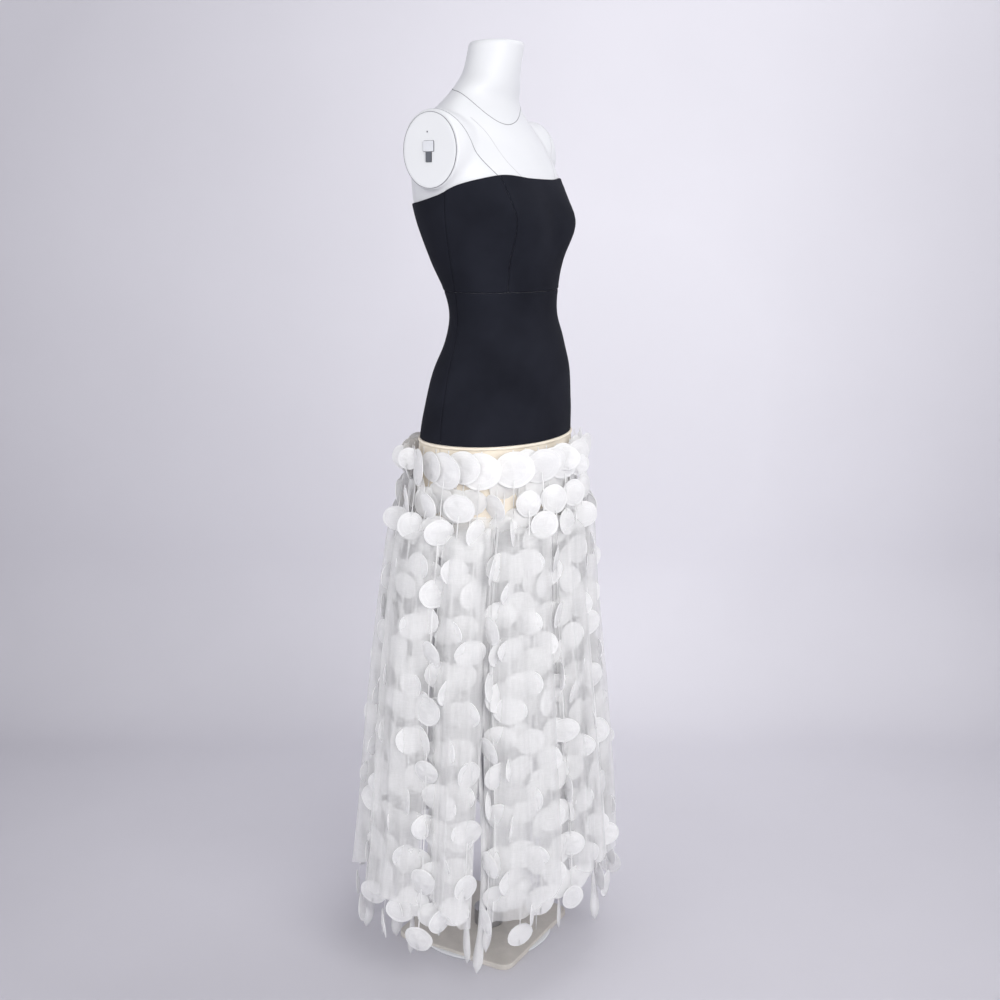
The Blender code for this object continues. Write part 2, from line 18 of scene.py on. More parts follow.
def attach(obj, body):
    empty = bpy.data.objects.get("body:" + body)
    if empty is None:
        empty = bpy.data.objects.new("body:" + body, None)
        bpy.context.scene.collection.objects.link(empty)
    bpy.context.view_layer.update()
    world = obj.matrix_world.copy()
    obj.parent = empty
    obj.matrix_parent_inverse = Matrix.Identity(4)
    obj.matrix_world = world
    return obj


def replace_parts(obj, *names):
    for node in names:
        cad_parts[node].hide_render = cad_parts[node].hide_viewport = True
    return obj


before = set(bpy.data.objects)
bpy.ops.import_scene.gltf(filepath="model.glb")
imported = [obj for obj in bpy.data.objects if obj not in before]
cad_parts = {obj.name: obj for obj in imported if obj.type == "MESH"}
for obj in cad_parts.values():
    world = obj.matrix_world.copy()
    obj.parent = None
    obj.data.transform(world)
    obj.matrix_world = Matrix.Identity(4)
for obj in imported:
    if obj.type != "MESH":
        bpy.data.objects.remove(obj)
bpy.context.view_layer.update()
ROOT = "root"


def table(columns, *rows):
    """Rows of values with named columns."""
    row = namedtuple("Row", columns)
    return [row(*values) for values in rows]


# The part's own values, from which every piece here takes its place
SEAM_GAP = 0.0003
CLOTH_EASE = 0.0010
CLOTH_WALL = 0.0015
WAIST_SEAM = 1.192
BLACK_HEM = 0.946
BLACK_HEM_RISE_AT_BACK = 0.006
YOKE_HEM = 0.806
YOKE_FLARE = 0.006
SIDE_SEAM_Y = -0.018

FIGURE = table(
    "height half_width front back middle squareness",
    (0.790, 0.166, 0.108, 0.110, -0.026, 2.10),
    (0.870, 0.171, 0.111, 0.112, -0.027, 2.15),
    (0.950, 0.165, 0.108, 0.108, -0.029, 2.15),
    (1.000, 0.157, 0.106, 0.105, -0.033, 2.15),
    (1.060, 0.141, 0.099, 0.100, -0.040, 2.15),
    (1.110, 0.122, 0.085, 0.088, -0.046, 2.10),
    (1.150, 0.113, 0.076, 0.079, -0.044, 2.10),
    (1.190, 0.117, 0.080, 0.083, -0.040, 2.10),
    (1.240, 0.131, 0.092, 0.101, -0.033, 2.10),
    (1.300, 0.145, 0.106, 0.118, -0.028, 2.15),
    (1.340, 0.150, 0.101, 0.123, -0.024, 2.20),
    (1.390, 0.153, 0.088, 0.116, -0.017, 2.20),
    (1.430, 0.152, 0.076, 0.103, -0.008, 2.00),
    (1.460, 0.142, 0.061, 0.089, -0.003, 1.75),
    (1.485, 0.108, 0.052, 0.074, -0.003, 1.70),
    (1.502, 0.086, 0.048, 0.060, -0.006, 1.80),
    (1.518, 0.072, 0.047, 0.049, -0.011, 2.00),
    (1.540, 0.055, 0.046, 0.046, -0.018, 2.00),
    (1.565, 0.048, 0.046, 0.046, -0.024, 2.00),
    (1.590, 0.047, 0.046, 0.046, -0.029, 2.00),
)
CUP_HEIGHT, CUP_TURN, CUP_LIFT = 1.300, 40.0, 0.013
CUP_REACH_UP, CUP_REACH_ROUND = 0.050, 26.0

NECKLINE = table(
    "turn height",
    (0.0, 1.3720),
    (25.0, 1.3728),
    (50.0, 1.3765),
    (66.0, 1.3705),
    (82.0, 1.3595),
    (96.0, 1.3450),
    (118.0, 1.3350),
    (180.0, 1.3310),
)
NECKLINE_PEAK = 50.0
PRINCESS_SEAM = table(
    "height turn",
    (1.192, 55.2),
    (1.233, 52.0),
    (1.276, 47.6),
    (1.310, 46.2),
    (1.346, 49.6),
    (1.377, 54.0),
)

STRANDS_A_QUARTER = 9
STRIP_TOP_DROP, STRIP_HEIGHT, STRIP_WALL = 0.0012, 0.0040, 0.0012
STRIP_CLEARANCE = 0.0009
QUARTER_GAP = 0.0010
DISC_PITCH = 0.100
DISCS_FROM_TOP_ROW, DISCS_FROM_SECOND_ROW = 9, 8
SHORT_STRANDS = (2, 4, 6, 8, 15, 20, 26, 31)
TOP_DISC_HEIGHT, TOP_DISC_HALF_WIDTH, TOP_DISC_HALF_HEIGHT = 0.912, 0.031, 0.027
SECOND_DISC_HEIGHT = 0.853
DISC_HALF_WIDTHS = (0.021, 0.029)
DISC_HALF_HEIGHTS = (0.0215, 0.0245)
SHINGLE_TWIST, LOOSE_TWIST = 19.0, 62.0
HEIGHT_SCATTER = 0.004
TUCK_START, TUCK_END, TUCK_DEPTH = 0.886, 0.842, 0.017
STRAND_SEED = 11
Strand = namedtuple("Strand", "turn is_top_row disc_count")

SKIRT_PLAN = table(
    "height half_width front back middle",
    (0.020, 0.268, 0.236, 0.236, 0.001),
    (0.250, 0.250, 0.213, 0.213, -0.010),
    (0.455, 0.235, 0.191, 0.191, -0.012),
    (0.650, 0.219, 0.171, 0.171, -0.014),
    (0.790, 0.206, 0.157, 0.157, -0.021),
    (0.853, 0.201, 0.149, 0.150, -0.025),
    (0.912, 0.192, 0.138, 0.138, -0.028),
    (0.936, 0.180, 0.124, 0.124, -0.029),
)
VEIL_PANELS = 12
VEIL_SLIT, VEIL_SLIT_OVAL = 0.008, (0.20, 0.155)
VEIL_TOP = 0.834
VEIL = table(
    "height half_width front back middle",
    (0.165, 0.227, 0.190, 0.190, -0.007),
    (0.320, 0.216, 0.177, 0.177, -0.011),
    (0.560, 0.198, 0.151, 0.151, -0.014),
    (0.750, 0.180, 0.1245, 0.1245, -0.023),
    (YOKE_HEM - SEAM_GAP / 2.0, 0.1735, 0.1155, 0.1185, -0.026),
)

ARM_END_X = 0.165
FITTING_HEIGHT, FITTING_Y = 1.411, -0.002
FITTING_BAR, FITTING_STEM = (0.019, 0.016), (0.010, 0.016)
ArmRing = namedtuple("ArmRing", "x half_depth low high middle")
ARM_STUB = [
    ArmRing(0.060, 0.052, 1.360, 1.476, -0.002),
    ArmRing(0.110, 0.058, 1.354, 1.473, -0.003),
    ArmRing(0.140, 0.059, 1.351, 1.477, -0.003),
    ArmRing(0.158, 0.054, 1.352, 1.477, -0.003),
    ArmRing(0.165, 0.049, 1.355, 1.471, -0.003),
]


# Curves and surfaces of the part, for whole arrays of places

def smooth_values(rows, at, name):
    """A column of a table at values of its first one, along a smooth curve through its rows."""
    keys = np.array([row[0] for row in rows], float)
    values = np.array([getattr(row, name) for row in rows], float)
    order = np.arange(len(keys))
    before, after = np.maximum(order - 1, 0), np.minimum(order + 1, len(keys) - 1)
    slopes = (values[after] - values[before]) / (keys[after] - keys[before])
    at = np.clip(at, keys[0], keys[-1])
    low = np.clip(np.searchsorted(keys, at, side="right") - 1, 0, len(keys) - 2)
    span = keys[low + 1] - keys[low]
    t = (at - keys[low]) / span
    rise = t * t * (3.0 - 2.0 * t)
    leave = t * (1.0 - t) ** 2 * span * slopes[low]
    arrive = t * t * (t - 1.0) * span * slopes[low + 1]
    return values[low] + rise * (values[low + 1] - values[low]) + leave + arrive


def oval_radius(turn, half_width, depth, squareness=2.0):
    across = np.abs(np.sin(turn)) / half_width
    along = np.abs(np.cos(turn)) / depth
    return (across**squareness + along**squareness) ** (-1.0 / squareness)


def degrees_from_front(turn):
    return np.abs(np.degrees(np.arctan2(np.sin(turn), np.cos(turn))))


def depth_at(rows, height, turn):
    """A plan's reach to the front or to the back, by the way that each turn faces."""
    front = smooth_values(rows, height, "front")
    back = smooth_values(rows, height, "back")
    return np.where(np.cos(turn) > 0.0, front, back)


def figure_radius(height, turn):
    half_width = smooth_values(FIGURE, height, "half_width")
    squareness = smooth_values(FIGURE, height, "squareness")
    radius = oval_radius(turn, half_width, depth_at(FIGURE, height, turn), squareness)
    round_part = (degrees_from_front(turn) - CUP_TURN) / CUP_REACH_ROUND
    up_part = (height - CUP_HEIGHT) / CUP_REACH_UP
    return radius + CUP_LIFT * np.exp(-(round_part**2) - up_part**2)


def points_round(radius, middle, turn, height):
    """Points at a radius from the axis middle, as an array with x, y and z last."""
    return np.stack([radius * np.sin(turn), middle - radius * np.cos(turn), height], axis=-1)


def figure_points(height, turn, lift=0.0):
    """Points of the figure's skin moved out by lift."""
    height, turn, lift = np.broadcast_arrays(height, turn, lift)
    radius = figure_radius(height, turn) + lift
    return points_round(radius, smooth_values(FIGURE, height, "middle"), turn, height)


def plan_points(plan, height, turn, lift=0.0):
    """Points of a hanging layer whose plan is a table of levels, moved out by lift."""
    height, turn, lift = np.broadcast_arrays(height, turn, lift)
    half_width = smooth_values(plan, height, "half_width")
    radius = oval_radius(turn, half_width, depth_at(plan, height, turn)) + lift
    return points_round(radius, smooth_values(plan, height, "middle"), turn, height)


def on_yoke(height, turn, clear):
    """Points on the yoke's outer face, or over its line past its hem, moved out by clear."""
    up = np.clip((height - YOKE_HEM) / (black_hem(turn) - YOKE_HEM), 0.0, 1.0)
    return figure_points(height, turn, CLOTH_EASE + YOKE_FLARE * (1.0 - up) + CLOTH_WALL + clear)


def neckline(turn):
    return smooth_values(NECKLINE, degrees_from_front(turn), "height")


def black_hem(turn):
    return BLACK_HEM + BLACK_HEM_RISE_AT_BACK * (1.0 - np.cos(turn)) / 2.0


def side_seam(height):
    middle = smooth_values(FIGURE, height, "middle")
    half_width = smooth_values(FIGURE, height, "half_width")
    return math.radians(90.0) + np.arctan2(SIDE_SEAM_Y - middle, half_width)


def princess_seam(height):
    return np.radians(smooth_values(PRINCESS_SEAM, height, "turn"))


def even_turns(plan, height, count):
    """Turns that part a plan evenly at a height, from the right side round by the front."""
    samples = 720
    turns = math.radians(-90.0) + 2.0 * math.pi * np.arange(samples + 1) / samples
    places = plan_points(plan, height, turns)
    steps = np.linalg.norm(np.diff(places, axis=0), axis=1)
    walked = np.concatenate([[0.0], np.cumsum(steps)])
    goals = walked[-1] * (np.arange(count) + 0.5) / count
    return np.interp(goals, walked, turns)


# Small tools for meshes

def smooth_step(low, high, at):
    part = np.clip((at - low) / (high - low), 0.0, 1.0)
    return part * part * (3.0 - 2.0 * part)


def bump(at, width):
    """1 at the middle, falling off softly past width."""
    return np.exp(-((at / width) ** 2))


def turns_round(count):
    """Angles spread evenly round a circle."""
    return 2.0 * math.pi * np.arange(count) / count


def link_object(name, data):
    obj = bpy.data.objects.new(name, data)
    bpy.context.scene.collection.objects.link(obj)
    return obj


def finish_object(name, mesh, material, slot):
    """A smooth piece that rides on the root body. slot is not used."""
    mesh.shade_smooth()
    mesh.materials.clear()
    mesh.materials.append(material)
    obj = link_object(name, mesh)
    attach(obj, ROOT)
    return obj


def mesh_from(name, points, faces):
    mesh = bpy.data.meshes.new(name)
    mesh.from_pydata([tuple(point) for point in points], [], faces)
    mesh.update()
    return mesh


def new_object(name, points, faces, material, slot):
    """A piece from points and faces."""
    return finish_object(name, mesh_from(name, points, faces), material, slot)


def mesh_of(shape, name):
    """A mesh from a bmesh, which is freed."""
    bmesh.ops.recalc_face_normals(shape, faces=shape.faces)
    mesh = bpy.data.meshes.new(name)
    shape.to_mesh(mesh)
    shape.free()
    return mesh


def lay_places(obj, places):
    """Gives each point of a piece its place on the cloth, as the piece's UV map."""
    layer = obj.data.uv_layers.new(name="cloth")
    corners = np.empty(len(obj.data.loops), np.int32)
    obj.data.loops.foreach_get("vertex_index", corners)
    layer.data.foreach_set("uv", places[corners].astype(np.float32).ravel())


def grid_faces(rows, columns, first=0, flip=False, closed=False):
    """Squares of a grid of points, as lists of four corners."""
    faces = []
    last = columns if closed else columns - 1
    for row in range(rows - 1):
        for column in range(last):
            after = (column + 1) % columns
            a = first + row * columns + column
            b = first + row * columns + after
            c, d = b + columns, a + columns
            faces.append([a, d, c, b] if flip else [a, b, c, d])
    return faces


def tube_faces(rows, columns):
    """Squares of a grid of points that closes both ways."""
    faces = grid_faces(rows + 1, columns, closed=True)
    return [[corner % (rows * columns) for corner in face] for face in faces]


def shell_mesh(inner, outer):
    """Points and faces of a closed wall between two open grids."""
    rows, columns = inner.shape[:2]
    shift = rows * columns
    points = np.concatenate([inner.reshape(-1, 3), outer.reshape(-1, 3)])
    faces = grid_faces(rows, columns, flip=True) + grid_faces(rows, columns, first=shift)
    border = list(range(columns))
    border += [row * columns + columns - 1 for row in range(1, rows)]
    border += [(rows - 1) * columns + column for column in range(columns - 2, -1, -1)]
    border += [row * columns for row in range(rows - 2, 0, -1)]
    for here, there in zip(border, border[1:] + border[:1]):
        faces.append([here, there, there + shift, here + shift])
    return points, faces


def spaced(length, near_edge, step):
    """Distances from 0 to length: close together near both ends, then a step apart."""
    inside = near_edge[-1]
    count = max(2, round((length - 2.0 * inside) / step))
    middle = np.linspace(inside, length - inside, count + 1)
    ends = np.array(near_edge[:-1])
    return np.concatenate([ends, middle, length - ends[::-1]])


# Materials

def new_material(name):
    """A new material, its node tree, its shader and where on the object a point lies."""
    material = bpy.data.materials.new(name)
    material.use_nodes = True
    tree = material.node_tree
    place = add_node(tree, "ShaderNodeTexCoord").outputs["Object"]
    return material, tree, tree.nodes["Principled BSDF"], place


def feed(tree, value, socket):
    """Gives an input its value, or the link that it takes its value from."""
    if isinstance(value, bpy.types.NodeSocket):
        tree.links.new(value, socket)
    else:
        socket.default_value = value


def add_node(tree, kind, *inputs, **named):
    """A shader node. inputs are its first inputs in order, and a name with a leading capital is an
    input too. Each other name is a property."""
    node = tree.nodes.new(kind)
    for name, value in named.items():
        if not name[0].isupper():
            setattr(node, name, value)
    for place, value in enumerate(inputs):
        feed(tree, value, node.inputs[place])
    set_inputs(tree, node, **{name: value for name, value in named.items() if name[0].isupper()})
    return node


def set_inputs(tree, node, **values):
    for name, value in values.items():
        feed(tree, value, node.inputs[name.replace("_", " ")])


def mixed_colour(tree, factor, first, second):
    mix = add_node(tree, "ShaderNodeMix", factor, data_type="RGBA")
    mix.inputs[6].default_value = (*first, 1.0)
    mix.inputs[7].default_value = (*second, 1.0)
    return mix.outputs[2]


def noise_of(tree, place, scale, detail=3.0, roughness=0.5):
    node = add_node(tree, "ShaderNodeTexNoise", Vector=place, Scale=scale, Detail=detail,
                    Roughness=roughness)
    return node.outputs["Fac"]


def height_of(tree, place):
    """The third coordinate of a place."""
    return add_node(tree, "ShaderNodeSeparateXYZ", place).outputs["Z"]


def add_bump(tree, shader, height, strength, distance):
    node = add_node(tree, "ShaderNodeBump", Height=height, Strength=strength, Distance=distance)
    tree.links.new(node.outputs["Normal"], shader.inputs["Normal"])
    return node.outputs["Normal"]


def stretched(tree, place, scale):
    return add_node(tree, "ShaderNodeMapping", Vector=place, Scale=scale).outputs["Vector"]


def summed(tree, first, second, weight):
    node = add_node(tree, "ShaderNodeMath", second, weight, first, operation="MULTIPLY_ADD")
    return node.outputs[0]


def ranged(tree, value, low, high, to_low=0.0, to_high=1.0):
    return add_node(tree, "ShaderNodeMapRange", value, low, high, to_low, to_high).outputs[0]


def woven_noise(tree, place, stretch, scale, detail):
    """Threads that run up and threads that run across, summed."""
    up = noise_of(tree, stretched(tree, place, (1.0, 1.0, stretch)), scale, detail)
    across = noise_of(tree, stretched(tree, place, (stretch, stretch, 1.0)), scale, detail)
    return summed(tree, up, across, 1.0)


def crepe_material():
    """Matte black crepe: a fine pebbled grain and a faint unevenness of the dye."""
    material, tree, shader, place = new_material("black_crepe")
    grain = noise_of(tree, place, 1500.0, detail=2.0, roughness=0.7)
    tone = summed(tree, noise_of(tree, place, 14.0, detail=2.0), grain, 0.35)
    colour = mixed_colour(tree, ranged(tree, tone, 0.4, 0.95),
                          (0.0078, 0.0086, 0.0135), (0.0136, 0.0149, 0.0222))
    set_inputs(tree, shader, Base_Color=colour, Specular_IOR_Level=0.10,
               Roughness=ranged(tree, grain, 0.3, 0.7, 0.78, 0.92))
    add_bump(tree, shader, grain, 0.35, 0.0004)
    return material


def woven_material(name, low, high, roughness):
    """A plain opaque weave whose threads run up and round the piece."""
    material, tree, shader, place = new_material(name)
    weave = woven_noise(tree, place, 0.06, 900.0, 2.0)
    tone = summed(tree, noise_of(tree, place, 22.0, detail=2.0), weave, 0.3)
    colour = mixed_colour(tree, ranged(tree, tone, 0.55, 1.05), low, high)
    set_inputs(tree, shader, Base_Color=colour, Roughness=roughness, Sheen_Weight=0.15)
    add_bump(tree, shader, weave, 0.25, 0.0003)
    return material


def ramp_of(tree, value, stops):
    """A grey curve through stops, each a place and a height from 0 to 1."""
    node = add_node(tree, "ShaderNodeValToRGB", value)
    ramp = node.color_ramp
    while len(ramp.elements) < len(stops):
        ramp.elements.new(1.0)
    for element, (place, height) in zip(ramp.elements, stops):
        element.position = place
        element.color = (height, height, height, 1.0)
    return node.outputs["Color"]


# The heights between which discs grow denser towards the yoke
FIRM_HEIGHTS = (0.80, 0.88)
# How the layers of a disc lie, from its middle to its rim: a faint pressed ring, the stitched
# groove, and the doubled edge outside it
DISC_BANDS = (
    (0.0, 0.10), (0.55, 0.12), (0.60, 0.30), (0.65, 0.12), (0.86, 0.15), (0.895, 0.75),
    (0.92, 0.25), (0.96, 0.80), (1.0, 1.0),
)
# How dense a sheer panel is over the distance from its nearest side edge, in tenths of a metre
VEIL_BANDS = ((0.0, 1.0), (0.022, 0.9), (0.030, 0.15), (0.30, 0.05), (1.0, 0.0))


def organza_material(name, low, high, bands, solid, denser, through, firm_top=0.0, streaks=0.0):
    """Stiff translucent organza.

    It hides the share solid of what is behind it, and a further share denser where bands, a curve
    over the first place on the piece, rises to 1. through is the share of the light that it
    scatters on to its far side. firm_top is a further share for the doubled discs by the yoke, and
    streaks one for the folds that run down a hanging panel.
    """
    material, tree, shader, place = new_material(name)
    weave = woven_noise(tree, place, 0.05, 1400.0, 0.0)
    tone = summed(tree, noise_of(tree, place, 30.0, detail=1.0), weave, 0.03)
    colour = mixed_colour(tree, ranged(tree, tone, 0.35, 0.75), low, high)
    set_inputs(tree, shader, Base_Color=colour, Roughness=0.5, Sheen_Weight=0.2,
               Sheen_Roughness=0.4, Specular_IOR_Level=0.35)

    on_piece = add_node(tree, "ShaderNodeTexCoord").outputs["UV"]
    reach = add_node(tree, "ShaderNodeVectorMath", on_piece, operation="LENGTH")
    band = ramp_of(tree, reach.outputs["Value"], bands)
    relief = add_bump(tree, shader, summed(tree, band, weave, 0.07), 0.5, 0.0005)
    glow = add_node(tree, "ShaderNodeBsdfTranslucent", Color=colour, Normal=relief)
    cloth = add_node(tree, "ShaderNodeMixShader", through, shader.outputs[0], glow.outputs[0])
    if solid < 1.0:
        share = ranged(tree, weave, 0.7, 1.3, solid - 0.02, solid + 0.02)
        hidden = summed(tree, share, band, denser)
        if firm_top:
            by_yoke = ranged(tree, height_of(tree, place), *FIRM_HEIGHTS)
            hidden = summed(tree, hidden, by_yoke, firm_top)
        if streaks:
            fold = noise_of(tree, stretched(tree, place, (1.0, 1.0, 0.035)), 55.0, detail=2.0)
            hidden = summed(tree, hidden, ranged(tree, fold, 0.42, 0.66), streaks)
        clear = add_node(tree, "ShaderNodeBsdfTransparent")
        cloth = add_node(tree, "ShaderNodeMixShader", hidden, clear.outputs[0], cloth.outputs[0])
    tree.links.new(cloth.outputs[0], tree.nodes["Material Output"].inputs["Surface"])
    return material


def gloss_material():
    """The form's white satin, with the faint waviness of a moulded and sprayed shell."""
    material, tree, shader, place = new_material("form_white_gloss")
    wave = noise_of(tree, place, 16.0, detail=1.0)
    fine = noise_of(tree, place, 600.0, detail=2.0)
    set_inputs(tree, shader, Roughness=ranged(tree, fine, 0.3, 0.7, 0.40, 0.52),
               Base_Color=mixed_colour(tree, wave, (0.665, 0.675, 0.695), (0.705, 0.715, 0.735)),
               Coat_Weight=0.10, Coat_Roughness=0.22, Specular_IOR_Level=0.3)
    add_bump(tree, shader, summed(tree, wave, fine, 0.02), 0.12, 0.004)
    return material


def brushing(tree, place):
    return noise_of(tree, stretched(tree, place, (1.0, 1.0, 0.08)), 900.0, detail=3.0)


def brushed_metal(name, roughness, colour_of):
    """Bright metal with fine brushing. colour_of gives its colour from the tree and the place."""
    material, tree, shader, place = new_material(name)
    brushed = brushing(tree, place)
    set_inputs(tree, shader, Base_Color=colour_of(tree, place), Metallic=1.0,
               Roughness=ranged(tree, brushed, 0.3, 0.7, roughness - 0.08, roughness + 0.08))
    add_bump(tree, shader, brushed, 0.1, 0.0003)
    return material


def worn_steel(tree, place):
    """Steel, a little darker in worn patches."""
    worn = noise_of(tree, place, 40.0, detail=3.0)
    return mixed_colour(tree, worn, (0.41, 0.41, 0.4264), (0.50, 0.50, 0.52))


def fitting_colour_with_painted_slot_shade(tree, place):
    """Bright metal above, and below it painted shade for the slot that the arm hooks into."""
    height = summed(tree, height_of(tree, place), brushing(tree, place), 0.0006)
    above = ranged(tree, height, FITTING_HEIGHT, FITTING_HEIGHT + 0.0008)
    return mixed_colour(tree, above, (0.10, 0.105, 0.12), (0.52, 0.53, 0.56))


def paint_material(name, low, high, roughness):
    """Sprayed paint with a slight orange peel, dust and small scuffs."""
    material, tree, shader, place = new_material(name)
    dust = noise_of(tree, place, 35.0, detail=5.0, roughness=0.65)
    colour = mixed_colour(tree, ranged(tree, dust, 0.35, 0.7), low, high)
    set_inputs(tree, shader, Base_Color=colour,
               Roughness=ranged(tree, dust, 0.3, 0.7, roughness - 0.08, roughness + 0.12))
    add_bump(tree, shader, noise_of(tree, place, 700.0, detail=1.0), 0.15, 0.0004)
    return material


def stage_material(name, far, near):
    """Backdrop paper with a painted pool of light: its colour is lighter round a place behind the
    dress than further off.
    """
    material, tree, shader, place = new_material(name)
    away = add_node(tree, "ShaderNodeVectorMath", place, stage_place(*PAINTED_LIGHT_PLACE),
                    operation="DISTANCE")
    cloud = noise_of(tree, place, 2.2, detail=4.0)
    reach = summed(tree, away.outputs["Value"], cloud, 0.25)
    set_inputs(tree, shader, Roughness=0.85, Specular_IOR_Level=0.2,
               Base_Color=mixed_colour(tree, ranged(tree, reach, *PAINTED_LIGHT_REACH, 1.0, 0.0), far, near))
    return material


# The bodice and the yoke: cloth walls with their seams

NEAR_SEAM = [0.0, 0.0003, 0.0007, 0.0012, 0.0020, 0.0035, 0.0060, 0.0080, 0.0095]
SEAM_DIP, SEAM_REACH = 0.0010, 0.0011
WELT_RISE, WELT_WIDTH, WELT_EDGE = 0.00022, 0.0075, 0.001
PUCKER_RISE, PUCKER_REACH, PUCKER_LENGTH = 0.00016, 0.009, 0.011
# Finer puckers among them, by their shares of the rise, the length and the phase
FINE_RISE, FINE_LENGTH, FINE_PHASE = 0.6, 0.63, 2.3
EDGE_ROUND = 0.0009
# Two faint waves of the cloth, each by how fast it runs up the figure and round it
DRAPE_RISE, DRAPE_WAVES = 0.00035, ((57.0, 3.0), (23.0, 5.0))
CLOTH_STEP = 0.006


def seam_relief(away, along, phase):
    """Rise of the outer face near a sewn seam: the stitched valley, the welt over its turnings
    and small puckers along it."""
    valley = -SEAM_DIP * bump(away, SEAM_REACH)
    welt = WELT_RISE * (1.0 - smooth_step(WELT_WIDTH - WELT_EDGE, WELT_WIDTH + WELT_EDGE, away))
    ripple = np.sin(2.0 * math.pi * along / PUCKER_LENGTH + phase)
    fine = 2.0 * math.pi * along / (PUCKER_LENGTH * FINE_LENGTH)
    ripple += FINE_RISE * np.sin(fine + FINE_PHASE * phase)
    return valley + welt + PUCKER_RISE * ripple * bump(away, PUCKER_REACH)


def edge_fold(away):
    """Fall of the outer face over a folded edge, a quarter round."""
    part = np.clip(1.0 - away / EDGE_ROUND, 0.0, 1.0)
    return (CLOTH_WALL / 2.0) * (1.0 - np.sqrt(1.0 - part**2))


Edge = namedtuple("Edge", "kind phase", defaults=(0.0,))


def cloth_panel(name, left, right, low, high, edges, material, slot, flare=0.0):
    """A panel of cloth on the figure between two seams and two edges, as the part cuts it.

    edges gives what happens at left, right, low and high: "seam" is sewn to a neighbour, "fold"
    is a turned edge.
    """
    bottom, top = float(low(0.0)), float(high(math.radians(NECKLINE_PEAK)))
    middle = (bottom + top) / 2.0
    width = float(right(middle) - left(middle)) * float(figure_radius(middle, left(middle)))
    across = spaced(width, NEAR_SEAM, CLOTH_STEP) / width
    up = spaced(top - bottom, NEAR_SEAM, CLOTH_STEP) / (top - bottom)
    up, across = np.meshgrid(up, across, indexing="ij")
    level = bottom + (top - bottom) * up
    half_gap = SEAM_GAP / 2.0 / figure_radius(level, left(level))
    start, end = left(level) + half_gap, right(level) - half_gap
    turn = start + (end - start) * across
    lowest, highest = low(turn) + SEAM_GAP / 2.0, high(turn) - SEAM_GAP / 2.0
    height = lowest + (highest - lowest) * up
    radius = figure_radius(height, turn)
    aways = ((turn - start) * radius, (end - turn) * radius, height - lowest, highest - height)
    alongs = (height, height, turn * radius, turn * radius)
    relief = np.zeros_like(height)
    for edge, away, along in zip(edges, aways, alongs):
        if edge.kind == "seam":
            relief = relief + seam_relief(away, along, edge.phase)
        else:
            relief = relief - edge_fold(away)
    drape = DRAPE_RISE
    for rate_up, rate_round in DRAPE_WAVES:
        drape = drape * np.sin(height * rate_up + turn * rate_round)
    lift = CLOTH_EASE + flare * (1.0 - up)
    inner = figure_points(height, turn, lift)
    outer = figure_points(height, turn, lift + CLOTH_WALL + relief + drape)
    points, faces = shell_mesh(inner, outer)
    return new_object(name, points, faces, material, slot)


def at_side(side):
    return lambda height: side * side_seam(height)


def at_princess(side):
    return lambda height: side * princess_seam(height)


def always(value):
    """The same value at every place."""
    return lambda place: value + 0.0 * np.asarray(place)


def past_back(seam):
    return lambda height: seam(height) + 2.0 * math.pi


# The cut of a panel, in metres along the cloth
CutSize = namedtuple("CutSize", "width length area")
SIDE_CUT, CENTRE_CUT = CutSize(0.125, 0.195, 0.0185), CutSize(0.26, 0.20, 0.0440)
BACK_CUT = CutSize(0.225, 0.165, 0.0305)
LOWER_CUT, LOWER_BACK_CUT = CutSize(0.46, 0.26, 0.1010), CutSize(0.23, 0.26, 0.0500)
YOKE_CUT, VEIL_CUT = CutSize(0.47, 0.145, 0.0660), CutSize(0.105, 0.65, 0.058)
RIGHT, LEFT = -1, 1


def declare_sheet(cut, with_pieces=()):
    list(with_pieces)


def make_bodice(material):
    """The black panels: five above the waist seam and three below."""
    waist, middle = always(WAIST_SEAM), always(math.pi)
    seam, other, fold = Edge("seam", 0.4), Edge("seam", 2.1), Edge("fold")
    upper = (waist, neckline, (seam, other, seam, fold), material, "black_crepe")
    lower = (black_hem, waist, (seam, other, fold, seam), material, "black_crepe")
    past_right = past_back(at_side(RIGHT))
    for node, start, end, rest, cut in (
        ("front_upper_side_right", at_side(RIGHT), at_princess(RIGHT), upper, SIDE_CUT),
        ("front_upper_centre", at_princess(RIGHT), at_princess(LEFT), upper, CENTRE_CUT),
        ("front_upper_side_left", at_princess(LEFT), at_side(LEFT), upper, SIDE_CUT),
        ("back_upper_left", at_side(LEFT), middle, upper, BACK_CUT),
        ("back_upper_right", middle, past_right, upper, BACK_CUT),
        ("front_lower", at_side(RIGHT), at_side(LEFT), lower, LOWER_CUT),
        ("back_lower_left", at_side(LEFT), middle, lower, LOWER_BACK_CUT),
        ("back_lower_right", middle, past_right, lower, LOWER_BACK_CUT),
    ):
        panel = cloth_panel(node + "_cloth", start, end, *rest)
        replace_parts(panel, node)
        declare_sheet(cut)


# The binding's middle under the black hem, how far it stands out, and its half height
BINDING_DROP, BINDING_STAND, BINDING_HALF = 0.0030, 0.0004, 0.0027
BINDING_DEPTH, BINDING_COLUMNS, BINDING_SIDES = 0.0024, 520, 8
# The waves along it, each by its rise, its count round the figure and its phase
BINDING_WAVES = ((0.00025, 41.0, 0.0), (0.0002, 67.0, 1.0))


def make_binding(material):
    """The narrow cream binding that shows under the black hem."""
    turns = turns_round(BINDING_COLUMNS)
    waviness = sum(rise * np.sin(turns * count + phase) for rise, count, phase in BINDING_WAVES)
    rings = []
    for angle in np.linspace(-0.5 * math.pi, 0.5 * math.pi, BINDING_SIDES):
        height = black_hem(turns) - BINDING_DROP + BINDING_HALF * math.sin(angle) + waviness
        proud = CLOTH_EASE + CLOTH_WALL + BINDING_STAND + BINDING_DEPTH * math.cos(angle)
        rings.append(figure_points(height, turns, proud))
    return new_object("yoke_binding", np.concatenate(rings),
                      tube_faces(BINDING_SIDES, BINDING_COLUMNS), material, "ivory_yoke")


